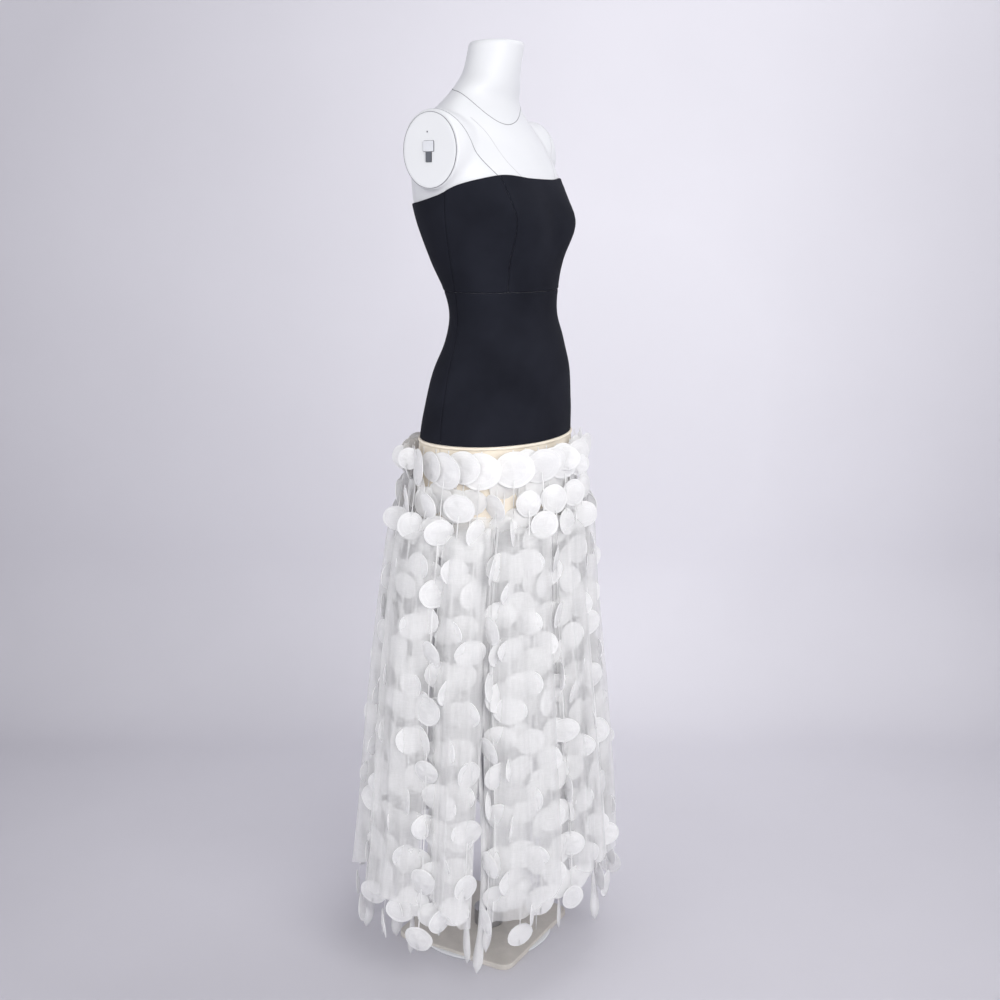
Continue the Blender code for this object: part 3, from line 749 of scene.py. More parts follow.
def make_yoke(material, fringe):
    """The ivory band under the black hem, and the binding along its top."""
    binding = make_binding(material)
    fold, seam = Edge("fold"), Edge("seam", 0.9)
    shape = (always(YOKE_HEM), black_hem, (seam, seam, fold, fold), material, "ivory_yoke")
    front, back = (at_side(RIGHT), at_side(LEFT)), (at_side(LEFT), past_back(at_side(RIGHT)))
    for name, sides, pieces in (("yoke_front", front, [binding] + fringe), ("yoke_back", back, [])):
        panel = cloth_panel(name + "_cloth", *sides, *shape, flare=YOKE_FLARE)
        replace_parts(panel, name)
        declare_sheet(YOKE_CUT, pieces)


# The skirt: strands of discs

# Each strand's turn, and the first one's again after a whole round
STRAND_TURNS = even_turns(SKIRT_PLAN, TOP_DISC_HEIGHT, 4 * STRANDS_A_QUARTER)
STRAND_TURNS = np.append(STRAND_TURNS, STRAND_TURNS[0] + 2.0 * math.pi)
Disc = namedtuple("Disc", "height half_width half_height twist")


def strand_discs(dice, strand):
    """The discs of one strand as the part draws them, from the top down."""
    discs = []
    height = TOP_DISC_HEIGHT if strand.is_top_row else SECOND_DISC_HEIGHT
    for number in range(strand.disc_count):
        half_width = dice.uniform(*DISC_HALF_WIDTHS)
        half_height = dice.uniform(*DISC_HALF_HEIGHTS)
        twist = dice.uniform(-LOOSE_TWIST, LOOSE_TWIST)
        drop = dice.uniform(-HEIGHT_SCATTER, HEIGHT_SCATTER)
        if number == 0:
            twist, drop = SHINGLE_TWIST, 0.0
        if number == 0 and strand.is_top_row:
            half_width, half_height = TOP_DISC_HALF_WIDTH, TOP_DISC_HALF_HEIGHT
        discs.append(Disc(height + drop, half_width, half_height, math.radians(twist)))
        height -= DISC_PITCH
    return discs


def tuck(height):
    part = min(max((height - TUCK_END) / (TUCK_START - TUCK_END), 0.0), 1.0)
    return TUCK_DEPTH * part * part * (3.0 - 2.0 * part)


def outward(height, turn):
    """Unit vector square to the skirt's plan at a turn."""
    step = math.radians(0.5)
    before, after = (plan_points(SKIRT_PLAN, height, turn + side * step) for side in (-1.0, 1.0))
    along = after - before
    length = math.hypot(along[0], along[1])
    return np.array([along[1] / length, -along[0] / length, 0.0])


UP = np.array([0.0, 0.0, 1.0])


def cross_direction(out, twist):
    """The level way across a disc or ribbon that is twisted from its strand's way out."""
    return np.cross(UP, out) * math.cos(twist) + out * math.sin(twist)


class Build:
    """Points and faces of one piece that is made of many small forms, with a place on each."""

    def __init__(self):
        self.points, self.faces, self.places = [], [], []
        self.count = 0

    def add(self, points, faces, places):
        self.faces += [[corner + self.count for corner in face] for face in faces]
        self.points.append(points)
        self.places.append(places)
        self.count += len(points)

    def piece(self, name, material, slot):
        points = np.concatenate(self.points)
        obj = new_object(name, points, self.faces, material, slot)
        lay_places(obj, np.concatenate(self.places))
        return obj


# A disc's rings, each by its share of the radius and how puffed it is there
DISC_RINGS = np.array([0.0, 0.36, 0.62, 0.80, 0.875, 0.93, 0.975, 1.0])
DISC_PUFF = np.array([1.0, 0.93, 0.74, 0.45, 0.18, 0.34, 0.30, 0.16])
DISC_HALF_THICKNESS = 0.0023
DISC_SIDES, SOFT_DISC_SIDES = 28, 16
DISC_TILTS, DISC_BOWS = (-9.0, 13.0), (-0.0055, 0.0030)
# How much of its radius a disc's outline wobbles, twice and five times round
WOBBLE_TWICE, WOBBLE_FIVE_TIMES = 0.02, 0.012
# Creases that run out from a disc's middle, and one fold across it
CREASES, CREASE_RISE = (3, 5), 0.0006
FOLD_RISE, FOLD_WIDTH, FOLD_AT_BACK, FOLD_OFF_MIDDLE = 0.0012, 0.0022, 0.4, 0.3
# How much of its bow sideways a disc has up and down
UPRIGHT_BOW = 0.4
ANY_PHASE = (0.0, 6.3)


def disc_faces(sides):
    """Faces of a disc's two sides and of its rim. The last point of each side is its middle."""
    rings = len(DISC_RINGS) - 1
    shift, rim = rings * sides + 1, (rings - 1) * sides
    faces = []
    for side, is_front in ((0, True), (shift, False)):
        faces += grid_faces(rings, sides, first=side, flip=is_front, closed=True)
        for column in range(sides):
            fan = [side + rings * sides, side + column, side + (column + 1) % sides]
            faces.append(fan if is_front else fan[::-1])
    for column in range(sides):
        after = (column + 1) % sides
        faces.append([rim + column, shift + rim + column, shift + rim + after, rim + after])
    return faces


def disc_form(centre, out, disc, dice, sides, tilt, bow):
    """One disc: two layers of cloth sewn together near the rim, a little puffed and bowed.

    out is the way that its strand faces, tilt leans its lower edge out, and bow curls its sides.
    """
    wide = cross_direction(out, disc.twist)
    thick = np.cross(wide, UP)
    lean_up = UP * math.cos(tilt) + thick * math.sin(tilt)
    lean_thick = thick * math.cos(tilt) - UP * math.sin(tilt)
    angles = turns_round(sides)
    wobble = 1.0 + WOBBLE_TWICE * np.sin(2.0 * angles + dice.uniform(*ANY_PHASE))
    wobble += WOBBLE_FIVE_TIMES * np.sin(5.0 * angles + dice.uniform(*ANY_PHASE))
    creases = dice.randint(*CREASES)
    crease_phase = dice.uniform(*ANY_PHASE)
    fold_turn = dice.uniform(0.0, math.pi)
    radii = DISC_RINGS[1:, None]
    x = np.append((radii * np.cos(angles) * wobble).ravel(), 0.0) * disc.half_width
    z = np.append((radii * np.sin(angles) * wobble).ravel(), 0.0) * disc.half_height
    puff = np.append(np.repeat(DISC_PUFF[1:], sides), DISC_PUFF[0]) * DISC_HALF_THICKNESS
    reach = np.append(np.repeat(DISC_RINGS[1:], sides), 0.0)
    ray = np.append(np.tile(angles, len(DISC_RINGS) - 1), 0.0)
    crease = CREASE_RISE * np.sin(creases * ray + crease_phase) * reach * (1.0 - reach) * 4.0
    across_fold = x * math.cos(fold_turn) + z * math.sin(fold_turn)
    off_middle = FOLD_OFF_MIDDLE * disc.half_width * math.sin(crease_phase)
    fold = FOLD_RISE * bump(across_fold - off_middle, FOLD_WIDTH) * (1.0 - reach)
    bowed = bow * (x / disc.half_width) ** 2 + UPRIGHT_BOW * bow * (z / disc.half_height) ** 2
    base = centre + x[:, None] * wide + z[:, None] * lean_up + bowed[:, None] * lean_thick
    front, back = puff + crease + fold, puff - crease - FOLD_AT_BACK * fold
    points = [base + front[:, None] * lean_thick, base - back[:, None] * lean_thick]
    places = np.stack([reach * np.cos(ray), reach * np.sin(ray)], axis=1)
    return np.concatenate(points), disc_faces(sides), np.concatenate([places, places])


# The place on the cloth that ribbons take, where a disc is neither thick nor thin
MID_CLOTH = 0.33


def ribbon_form(path, wides, widths, thickness):
    """A narrow ribbon along a path. wides are its cross directions, one for each point."""
    path, wides = np.array(path), np.array(wides)
    count = len(path)
    along = np.gradient(path, axis=0)
    thick = np.cross(wides, along)
    thick /= np.linalg.norm(thick, axis=1)[:, None]
    half = np.array(widths)[:, None] / 2.0
    offset = thick * thickness / 2.0
    rings = np.stack([
        path - wides * half - offset, path + wides * half - offset,
        path + wides * half + offset, path - wides * half + offset,
    ], axis=1)
    points = rings.reshape(-1, 3)
    faces = grid_faces(count, 4, flip=True, closed=True)
    faces.append([0, 1, 2, 3])
    end = (count - 1) * 4
    faces.append([end + 3, end + 2, end + 1, end])
    return points, faces, np.full((len(points), 2), MID_CLOTH)


STEM_WIDTH, STEM_THICKNESS = 0.0022, 0.0005
# How far up and down from a disc's middle the stem shows its twist, as a share of its half height
SEWN_SHARE = 0.85


def add_strand(discs_build, stems_build, turn, discs, inset, dice, top, sides):
    """A stem from the height top down through its discs, each disc sewn over the stem.

    inset gives how far in from the skirt's plan the strand hangs at a height.
    """
    path, wides = [], []
    knots = [(top, 0.0)]
    for disc in discs:
        for end in (SEWN_SHARE, -SEWN_SHARE):
            knots.append((disc.height + end * disc.half_height, disc.twist))
    for height, twist in knots:
        path.append(plan_points(SKIRT_PLAN, height, turn, -inset(height)))
        wides.append(cross_direction(outward(height, turn), twist))
    stems_build.add(*ribbon_form(path, wides, [STEM_WIDTH] * len(path), STEM_THICKNESS))
    for disc in discs:
        centre = plan_points(SKIRT_PLAN, disc.height, turn, -inset(disc.height))
        tilt, bow = math.radians(dice.uniform(*DISC_TILTS)), dice.uniform(*DISC_BOWS)
        out = outward(disc.height, turn)
        discs_build.add(*disc_form(centre, out, disc, dice, sides=sides, tilt=tilt, bow=bow))


# A strip's section, each corner by its share of the height and of the wall; its middle bulges
STRIP_SECTION = ((0.0, 0.0), (0.0, 1.0), (0.5, 1.25), (1.0, 1.0), (1.0, 0.0))
STRIP_COLUMNS, STRIP_WALL_SHARE = 90, 0.9


def strip_form(start):
    """The backing strip of a quarter, a narrow tape with rounded edges."""
    half_gap = QUARTER_GAP / 2.0 / float(figure_radius(BLACK_HEM, start))
    turns = np.linspace(start + half_gap, start + math.pi / 2.0 - half_gap, STRIP_COLUMNS)
    rings = []
    for row, face in STRIP_SECTION:
        height = black_hem(turns) - STRIP_TOP_DROP - STRIP_HEIGHT * (1.0 - row)
        rings.append(on_yoke(height, turns, STRIP_CLEARANCE + STRIP_WALL * face * STRIP_WALL_SHARE))
    grid = np.array(rings).transpose(1, 0, 2)
    sides = len(STRIP_SECTION)
    faces = grid_faces(STRIP_COLUMNS, sides, flip=True, closed=True)
    faces.append(list(range(sides)))
    faces.append([(STRIP_COLUMNS - 1) * sides + place for place in range(sides)][::-1])
    return grid.reshape(-1, 3), faces, np.zeros((STRIP_COLUMNS * sides, 2))


QUARTERS = ("fringe_front_right", "fringe_front_left", "fringe_back_left", "fringe_back_right")

# Discs shingled into the top row between the part's
EXTRA_HEIGHT, EXTRA_SCATTER, EXTRA_INSET, EXTRA_TWIST = 0.917, 0.003, 0.0045, 17.0
EXTRA_HALF_SIZES, EXTRA_FLATNESS = (0.025, 0.030), 0.92
EXTRA_ON_STRANDS = (1, 5, 7, 11, 13, 17, 19, 23, 27, 29, 33, 35)
TOP_ROW_GROWTH, LOOSE_SEED = 1.13, 5

# Discs of the top row that stand out square to it at both sides
TURNED_DISCS = table(
    "strand height half_size twist",
    (8, 0.918, 0.023, 58.0),
    (9, 0.903, 0.021, 62.0),
    (31, 0.915, 0.022, -62.0),
    (33, 0.922, 0.020, -50.0),
)
TURNED_INSET = -0.009

# The strand whose discs show nearly edge on, and their twists in degrees from the top down
EDGE_ON_STRAND = 3
EDGE_TWISTS = (66.0, -70.0, 74.0, -62.0, 70.0, -76.0, 64.0, 72.0, -68.0)

# Softer strands between the part's, in front of the inner sheer panels
SOFT_ROOT, SOFT_TOP, SOFT_BOTTOM, SOFT_PITCH = 0.915, 0.892, 0.120, 0.070
SOFT_LEAVES_YOKE, SOFT_FULL_DROP = 0.830, 0.09
SOFT_INSET_AT_YOKE, SOFT_INSET = 0.019, 0.0095
SOFT_HALF_SIZES, SOFT_FLATNESS = (0.025, 0.030), (0.86, 1.0)
SOFT_TWIST, SOFT_FIRST_TWIST_SHARE, SOFT_SCATTER, SOFT_SEED = 26.0, 0.4, 0.008, 23


def soft_inset(height):
    down = float(smooth_step(0.0, SOFT_FULL_DROP, SOFT_LEAVES_YOKE - height))
    return SOFT_INSET_AT_YOKE + (SOFT_INSET - SOFT_INSET_AT_YOKE) * down


def soft_discs(dice):
    """Discs of an inner strand, from the top down."""
    discs = []
    height = SOFT_TOP - dice.uniform(0.0, 0.5 * SOFT_PITCH)
    while height > SOFT_BOTTOM:
        size = dice.uniform(*SOFT_HALF_SIZES)
        twist = math.radians(dice.uniform(-SOFT_TWIST, SOFT_TWIST))
        drop = dice.uniform(-SOFT_SCATTER, SOFT_SCATTER)
        discs.append(Disc(height + drop, size, size * dice.uniform(*SOFT_FLATNESS), twist))
        height -= SOFT_PITCH
    discs[0] = discs[0]._replace(twist=SOFT_FIRST_TWIST_SHARE * discs[0].twist)
    return discs


def outer_discs(dice, number, strand):
    """The part's discs of a strand, with the changes that only show in the render."""
    discs = strand_discs(dice, strand)
    if strand.is_top_row:
        discs[0] = discs[0]._replace(half_width=TOP_ROW_GROWTH * discs[0].half_width,
                                     half_height=TOP_ROW_GROWTH * discs[0].half_height)
    if number == EDGE_ON_STRAND:
        discs = [disc._replace(twist=math.radians(twist))
                 for disc, twist in zip(discs, EDGE_TWISTS)]
    return discs


def added_discs(dice, number):
    """The discs added to a strand's top, one after the other, each with its inset."""
    if number in EXTRA_ON_STRANDS:
        size = dice.uniform(*EXTRA_HALF_SIZES)
        height = EXTRA_HEIGHT + dice.uniform(-EXTRA_SCATTER, EXTRA_SCATTER)
        yield Disc(height, size, EXTRA_FLATNESS * size, math.radians(EXTRA_TWIST)), EXTRA_INSET
    for turned in TURNED_DISCS:
        if turned.strand == number:
            size = turned.half_size
            yield (Disc(turned.height, size, EXTRA_FLATNESS * size, math.radians(turned.twist)),
                   TURNED_INSET)


def make_outer_strands(organza, sheer, ivory):
    """The part's strands with their real discs, and the extra discs of the top row."""
    dice, loose = random.Random(STRAND_SEED), random.Random(LOOSE_SEED)
    trims = []
    for order, node in enumerate(QUARTERS):
        discs_build, stems_build, strip_build = Build(), Build(), Build()
        strip_build.add(*strip_form(math.radians(90.0 * (order - 1))))
        first = order * STRANDS_A_QUARTER
        for number in range(first, first + STRANDS_A_QUARTER):
            turn, is_top_row = float(STRAND_TURNS[number]), number % 2 == 0
            count = DISCS_FROM_TOP_ROW if is_top_row else DISCS_FROM_SECOND_ROW
            strand = Strand(turn, is_top_row, count - (number in SHORT_STRANDS))
            root = float(black_hem(turn)) - STRIP_TOP_DROP - STRIP_HEIGHT
            add_strand(discs_build, stems_build, turn, outer_discs(dice, number, strand),
                       always(0.0) if is_top_row else tuck, loose, root, DISC_SIDES)
            for added, inset in added_discs(loose, number):
                add_strand(discs_build, stems_build, turn, [added], always(inset), loose, root,
                           DISC_SIDES)
        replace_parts(discs_build.piece(node + "_discs", organza, "white_organza"), node)
        trims.append(stems_build.piece(node + "_stems", sheer, "sheer_organza"))
        trims.append(strip_build.piece(node + "_strip", ivory, "ivory_yoke"))
    return trims


def make_soft_strands(material):
    """The inner strands, which show softly through the sheer panels."""
    dice = random.Random(SOFT_SEED)
    discs_build, stems_build = Build(), Build()
    for number, turn in enumerate((STRAND_TURNS[:-1] + STRAND_TURNS[1:]) / 2.0):
        if number != EDGE_ON_STRAND - 1:
            add_strand(discs_build, stems_build, float(turn), soft_discs(dice), soft_inset, dice,
                       SOFT_ROOT, SOFT_DISC_SIDES)
    return [
        discs_build.piece("inner_strand_discs", material, "white_organza"),
        stems_build.piece("inner_strand_stems", material, "sheer_organza"),
    ]


# Narrow ribbons between the strands and the sheer panels
RIBBONS = table(
    "turn end width first_twist twist_rate",
    (-97.0, 0.090, 0.013, 20.0, 140.0),
    (-93.0, 0.065, 0.010, -50.0, 210.0),
    (-81.0, 0.110, 0.012, 60.0, -170.0),
    (-66.5, 0.066, 0.013, -30.0, 120.0),
    (-63.0, 0.046, 0.011, 35.0, 230.0),
    (-58.0, 0.085, 0.010, 80.0, -150.0),
    (-37.0, 0.105, 0.012, -10.0, 190.0),
    (-21.0, 0.095, 0.013, 45.0, 160.0),
    (14.0, 0.040, 0.011, -60.0, 150.0),
    (47.0, 0.070, 0.013, 25.0, -190.0),
    (86.0, 0.030, 0.012, 70.0, 130.0),
    (118.0, 0.080, 0.010, -35.0, 220.0),
    (149.0, 0.050, 0.013, 15.0, -140.0),
    (181.0, 0.035, 0.012, -75.0, 170.0),
    (206.0, 0.090, 0.011, 50.0, 150.0),
    (237.0, 0.055, 0.013, -20.0, 200.0),
)
RIBBON_TOP, RIBBON_STEPS, RIBBON_THICKNESS = YOKE_HEM + 0.012, 70, 0.0006
RIBBON_INSET_AT_TOP, RIBBON_INSET, RIBBON_FULL_DROP = 0.0125, 0.020, 0.10
RIBBON_SWAY, RIBBON_WAVES, RIBBON_TURN_RADIUS = 0.006, 9.0, 0.2
FIRST_TWIST_AT = 0.8
# The leaf at a ribbon's end: its length, how much wider it is, and how narrow its tip is
RIBBON_TIP, LEAF_WIDTH, TIP_SHARE = 0.048, 1.7, 0.06
# The shares of that length at which the leaf is widest, starts to narrow and is the ribbon again
LEAF_WIDEST, LEAF_NARROWS, LEAF_ENDS = 0.45, 0.5, 1.6


def leaf_share(from_end):
    """A ribbon's width at a height above its end, as a share of its width further up."""
    leaf = LEAF_WIDTH * math.sqrt(max(from_end, 0.0) / (LEAF_WIDEST * RIBBON_TIP))
    narrowed = float(smooth_step(LEAF_NARROWS * RIBBON_TIP, LEAF_ENDS * RIBBON_TIP, from_end))
    return max(min(leaf, 1.0 + (LEAF_WIDTH - 1.0) * (1.0 - narrowed)), TIP_SHARE)


def make_ribbons(organza):
    """Long narrow ribbons that turn slowly as they fall and end in a pointed leaf."""
    build = Build()
    for ribbon in RIBBONS:
        turn = math.radians(ribbon.turn)
        path, wides, widths = [], [], []
        for height in np.linspace(RIBBON_TOP, ribbon.end, RIBBON_STEPS):
            down = float(smooth_step(0.0, RIBBON_FULL_DROP, RIBBON_TOP - height))
            sway = RIBBON_SWAY * math.sin(RIBBON_WAVES * height + ribbon.turn) * down
            inset = RIBBON_INSET_AT_TOP + (RIBBON_INSET - RIBBON_INSET_AT_TOP) * down + 0.5 * sway
            twist = math.radians(ribbon.first_twist + ribbon.twist_rate * (FIRST_TWIST_AT - height))
            path.append(plan_points(SKIRT_PLAN, height, turn + sway / RIBBON_TURN_RADIUS, -inset))
            wides.append(cross_direction(outward(height, turn), twist))
            widths.append(ribbon.width * leaf_share(height - ribbon.end))
        build.add(*ribbon_form(path, wides, widths, RIBBON_THICKNESS))
    return build.piece("hanging_ribbons", organza, "white_organza")


def make_skirt(organza, lined, sheer, ivory):
    """All the strands and ribbons, as the fringe of the yoke."""
    trims = make_outer_strands(organza, sheer, ivory) + make_soft_strands(lined)
    return trims + [make_ribbons(organza)]


# The inner sheer panels. Each side draws in by VEIL_PARTING radians at the bottom
VEIL_ROWS, VEIL_COLUMNS = 84, 22
VEIL_RIPPLE, VEIL_FULL_RIPPLE_DROP = 0.0022, 0.45
# The ripples across a panel, how fast they shift with the height, and from panel to panel
VEIL_WAVES, VEIL_SHIFT, VEIL_PHASE_STEP = 2.3, 1.4, 0.37
VEIL_PARTING, VEIL_PARTS_BELOW, VEIL_FULL_PARTING_DROP = 0.030, 0.62, 0.50
VEIL_INSET, VEIL_ON_YOKE, VEIL_LEAVES_OVER = 0.0005, 0.0006, 0.03


def eased(leaves, hanging, over_yoke, drop, height):
    """A panel's points: on the yoke down to the height leaves, and hanging from drop below it."""
    weight = 1.0 - smooth_step(0.0, drop, leaves - height)[..., None]
    return hanging * (1.0 - weight) + over_yoke * weight


def veil_grid(start, end, phase):
    """Points of one sheer panel, which hangs straight with faint ripples."""
    height, across = np.meshgrid(np.linspace(VEIL[0].height, VEIL_TOP, VEIL_ROWS),
                                 np.linspace(0.0, 1.0, VEIL_COLUMNS), indexing="ij")
    parting = VEIL_PARTING * smooth_step(0.0, VEIL_FULL_PARTING_DROP, VEIL_PARTS_BELOW - height)
    turn = start + parting + (end - start - 2.0 * parting) * across
    down = smooth_step(0.0, VEIL_FULL_RIPPLE_DROP, YOKE_HEM - height)
    waves = 2.0 * math.pi * (VEIL_WAVES * across + phase) + VEIL_SHIFT * height
    ripple = VEIL_RIPPLE * down * np.sin(waves)
    hanging = plan_points(VEIL, height, turn, ripple - VEIL_INSET)
    return eased(YOKE_HEM, hanging, on_yoke(height, turn, VEIL_ON_YOKE), VEIL_LEAVES_OVER, height)


def veil_places(grid):
    """How far each point of a panel is from its nearest side edge, in tenths of a metre."""
    steps = np.linalg.norm(np.diff(grid, axis=1), axis=2)
    walked = np.concatenate([np.zeros((len(grid), 1)), np.cumsum(steps, axis=1)], axis=1)
    nearest = np.minimum(walked, walked[:, -1:] - walked)
    return np.stack([10.0 * nearest.ravel(), np.zeros(nearest.size)], axis=1)


def sheer_panel(name, grid, material):
    panel = new_object(name, grid.reshape(-1, 3), grid_faces(*grid.shape[:2]), material,
                       "sheer_organza")
    lay_places(panel, veil_places(grid))
    return panel


def make_veil(material):
    """Sheer panels from the yoke's hem down, parted by narrow slits."""
    middles = even_turns(VEIL, VEIL[-1].height, VEIL_PANELS)
    spread = list((middles[1:] - middles[:-1]) / 2.0)
    spread.append((middles[0] + 2.0 * math.pi - middles[-1]) / 2.0)
    for number, middle in enumerate(middles):
        half_slit = VEIL_SLIT / 2.0 / float(oval_radius(middle, *VEIL_SLIT_OVAL))
        start, end = middle - spread[number - 1] + half_slit, middle + spread[number] - half_slit
        node = "veil_panel_%02d" % (number + 1)
        grid = veil_grid(start, end, VEIL_PHASE_STEP * number)
        panel = sheer_panel(node + "_sheer", grid, material)
        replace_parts(panel, node)
        declare_sheet(VEIL_CUT)


# Outer sheer panels, each from a free strand to the next. end and far_end are the heights of its
# bottom there, and parting the degrees that its far side draws in from the next free strand
OUTER_PANELS = table(
    "strand end far_end parting",
    (0, 0.185, 0.140, 6.0),
    (3, 0.135, 0.210, 1.5),
    (7, 0.200, 0.185, 1.5),
    (10, 0.165, 0.180, 1.5),
    (14, 0.150, 0.170, 1.5),
    (18, 0.180, 0.155, 1.5),
    (21, 0.150, 0.175, 1.5),
    (24, 0.185, 0.165, 1.5),
    (28, 0.160, 0.180, 1.5),
    (32, 0.175, 0.160, 1.5),
)
OVER_ROWS, OVER_COLUMNS, OVER_TOP = 90, 34, VEIL_TOP - 0.002
OVER_LIFT, OVER_TUCK, OVER_TUCK_REACH, OVER_RADIUS = 0.012, 0.012, 0.030, 0.20
OVER_ON_YOKE, OVER_LEAVES_YOKE, OVER_FULL_DROP = 0.0014, 0.831, 0.042
OVER_GAP, NEAR_PARTING = math.radians(0.6), math.radians(1.5)
OVER_PARTS_BELOW, OVER_SWELL_DROP = 0.66, 0.40
OVER_RAGGED, OVER_RAGGED_WAVES, OVER_PHASE_STEP = 0.008, 0.8, 0.29
# The broad and the fine folds across a panel, and how fast each shifts with the height
OVER_FOLD, BROAD_FOLDS, BROAD_SHIFT = 0.0034, 2.6, 2.1
FINE_FOLD_SHARE, FINE_FOLDS, FINE_SHIFT = 0.5, 5.3, 3.0


def over_grid(start, end, panel, phase):
    """Points of one outer panel: flat on the yoke, then over the strands, its sides tucked in."""
    part, across = np.meshgrid(np.linspace(0.0, OVER_TOP, OVER_ROWS) / OVER_TOP,
                               np.linspace(0.0, 1.0, OVER_COLUMNS), indexing="ij")
    ragged = panel.end + (panel.far_end - panel.end) * across
    ragged = ragged + OVER_RAGGED * np.sin(2.0 * math.pi * (OVER_RAGGED_WAVES * across + phase))
    height = ragged + (OVER_TOP - ragged) * part
    drawn_in = smooth_step(0.0, OVER_SWELL_DROP, OVER_PARTS_BELOW - height)
    near, far = start + NEAR_PARTING * drawn_in, end - math.radians(panel.parting) * drawn_in
    turn = near + (far - near) * across
    from_side = np.minimum(across, 1.0 - across) * (end - start) * OVER_RADIUS
    tucked = 1.0 - smooth_step(0.0, OVER_TUCK_REACH, from_side)
    down = smooth_step(0.0, OVER_SWELL_DROP, OVER_LEAVES_YOKE - height)
    broad = 2.0 * math.pi * (BROAD_FOLDS * across + phase) + BROAD_SHIFT * height
    fine = 2.0 * math.pi * (FINE_FOLDS * across - phase) - FINE_SHIFT * height
    fold = np.sin(broad) + FINE_FOLD_SHARE * np.sin(fine)
    lift = OVER_LIFT - (OVER_LIFT + OVER_TUCK) * tucked + OVER_FOLD * down * fold
    hanging = plan_points(SKIRT_PLAN, height, turn, lift)
    over_yoke = on_yoke(height, turn, OVER_ON_YOKE)
    return eased(OVER_LEAVES_YOKE, hanging, over_yoke, OVER_FULL_DROP, height)


def make_over_panels(material):
    lasts = [panel.strand for panel in OUTER_PANELS[1:]] + [len(STRAND_TURNS) - 1]
    for number, (outer, last) in enumerate(zip(OUTER_PANELS, lasts)):
        start, end = STRAND_TURNS[outer.strand] + OVER_GAP, STRAND_TURNS[last] - OVER_GAP
        grid = over_grid(start, end, outer, OVER_PHASE_STEP * number)
        panel = sheer_panel("outer_panel_%02d_sheer" % (number + 1), grid, material)
        across, down = np.diff(grid, axis=1), np.diff(grid, axis=0)
        wide = float(np.linalg.norm(across, axis=2).sum(axis=1).max())
        tall = float(np.linalg.norm(down[:, OVER_COLUMNS // 2], axis=1).sum())
        cells = np.linalg.norm(np.cross(across[:-1], down[:, :-1]), axis=2)
        cut = CutSize(round(wide, 3), round(tall, 3), round(float(cells.sum()), 4))
        declare_sheet(cut)


# The form

FORM_INSET, FORM_VOXEL, FORM_SPLIT = 0.0006, 0.0026, 1.262
END_ROUND, END_STEPS = 0.006, np.array([0.0, 0.12, 0.3, 0.5, 0.75])
CHEST_ROWS, CHEST_SIDES, HIP_ROWS, HIP_SIDES = 110, 120, 80, 96
ARM_ROWS, ARM_SIDES, ARM_SHORT = 24, 64, 0.0022
# How far out the shoulder's smoothing starts and is full, and how far from the arm's end each stops
SHOULDER_OUT, SHOULDER_END, SMOOTH_END = (0.085, 0.125), (0.010, 0.004), (0.006, 0.003)
SMOOTHINGS = (("all_over", 8), ("shoulder", 70))
# The angles in degrees past which an edge of the hips or of an arm cap stays sharp
HIPS_SHARP, CAP_SHARP = 50.0, 45.0
# The cap over each arm end: how far out from the arm's end and how far in from its edge it runs
CAP_DEPTH, CAP_SIDES = 0.0023, 72
CAP_PROFILE = (
    (0.0000, 0.0016), (0.0010, 0.0006), (0.0018, 0.0006), (0.0022, 0.0012), (0.0023, 0.0040),
)


def add_loft(shape, rings):
    """Adds a closed loft through rings of equal counts to a bmesh."""
    loops = [[shape.verts.new(point) for point in ring] for ring in rings]
    count = len(loops[0])
    for low, high in zip(loops, loops[1:]):
        for place in range(count):
            after = (place + 1) % count
            shape.faces.new([low[place], low[after], high[after], high[place]])
    shape.faces.new(loops[0][::-1])
    shape.faces.new(loops[-1])


def form_rings(heights, columns, end):
    """Rings of the torso, drawn in near a rounded end at the height end."""
    turns = turns_round(columns)
    rings = []
    for height in heights:
        near = min(abs(height - end) / END_ROUND, 1.0)
        inset = FORM_INSET + END_ROUND * (1.0 - math.sqrt(1.0 - (1.0 - near) ** 2))
        rings.append(figure_points(height, turns, -inset))
    return rings


def arm_oval(section, inset, angles):
    """The y and z of points round an arm's section, in from its edge by inset."""
    y = section.middle + (section.half_depth - inset) * np.cos(angles)
    half_height = (section.high - section.low) / 2.0 - inset
    return y, (section.low + section.high) / 2.0 + half_height * np.sin(angles)


def arm_rings(side):
    rings = []
    for x in np.linspace(ARM_STUB[0].x, ARM_END_X - ARM_SHORT, ARM_ROWS):
        section = ArmRing(x, *(float(smooth_values(ARM_STUB, x, name))
                               for name in ("half_depth", "low", "high", "middle")))
        y, z = arm_oval(section, 0.0, turns_round(ARM_SIDES))
        rings.append(np.stack([np.full(ARM_SIDES, side * x), y, z], axis=1))
    return rings


def take_mesh(obj):
    """The mesh that an object's modifiers give. The object itself is removed."""
    graph = bpy.context.evaluated_depsgraph_get()
    mesh = bpy.data.meshes.new_from_object(obj.evaluated_get(graph), depsgraph=graph)
    bpy.data.objects.remove(obj)
    return mesh


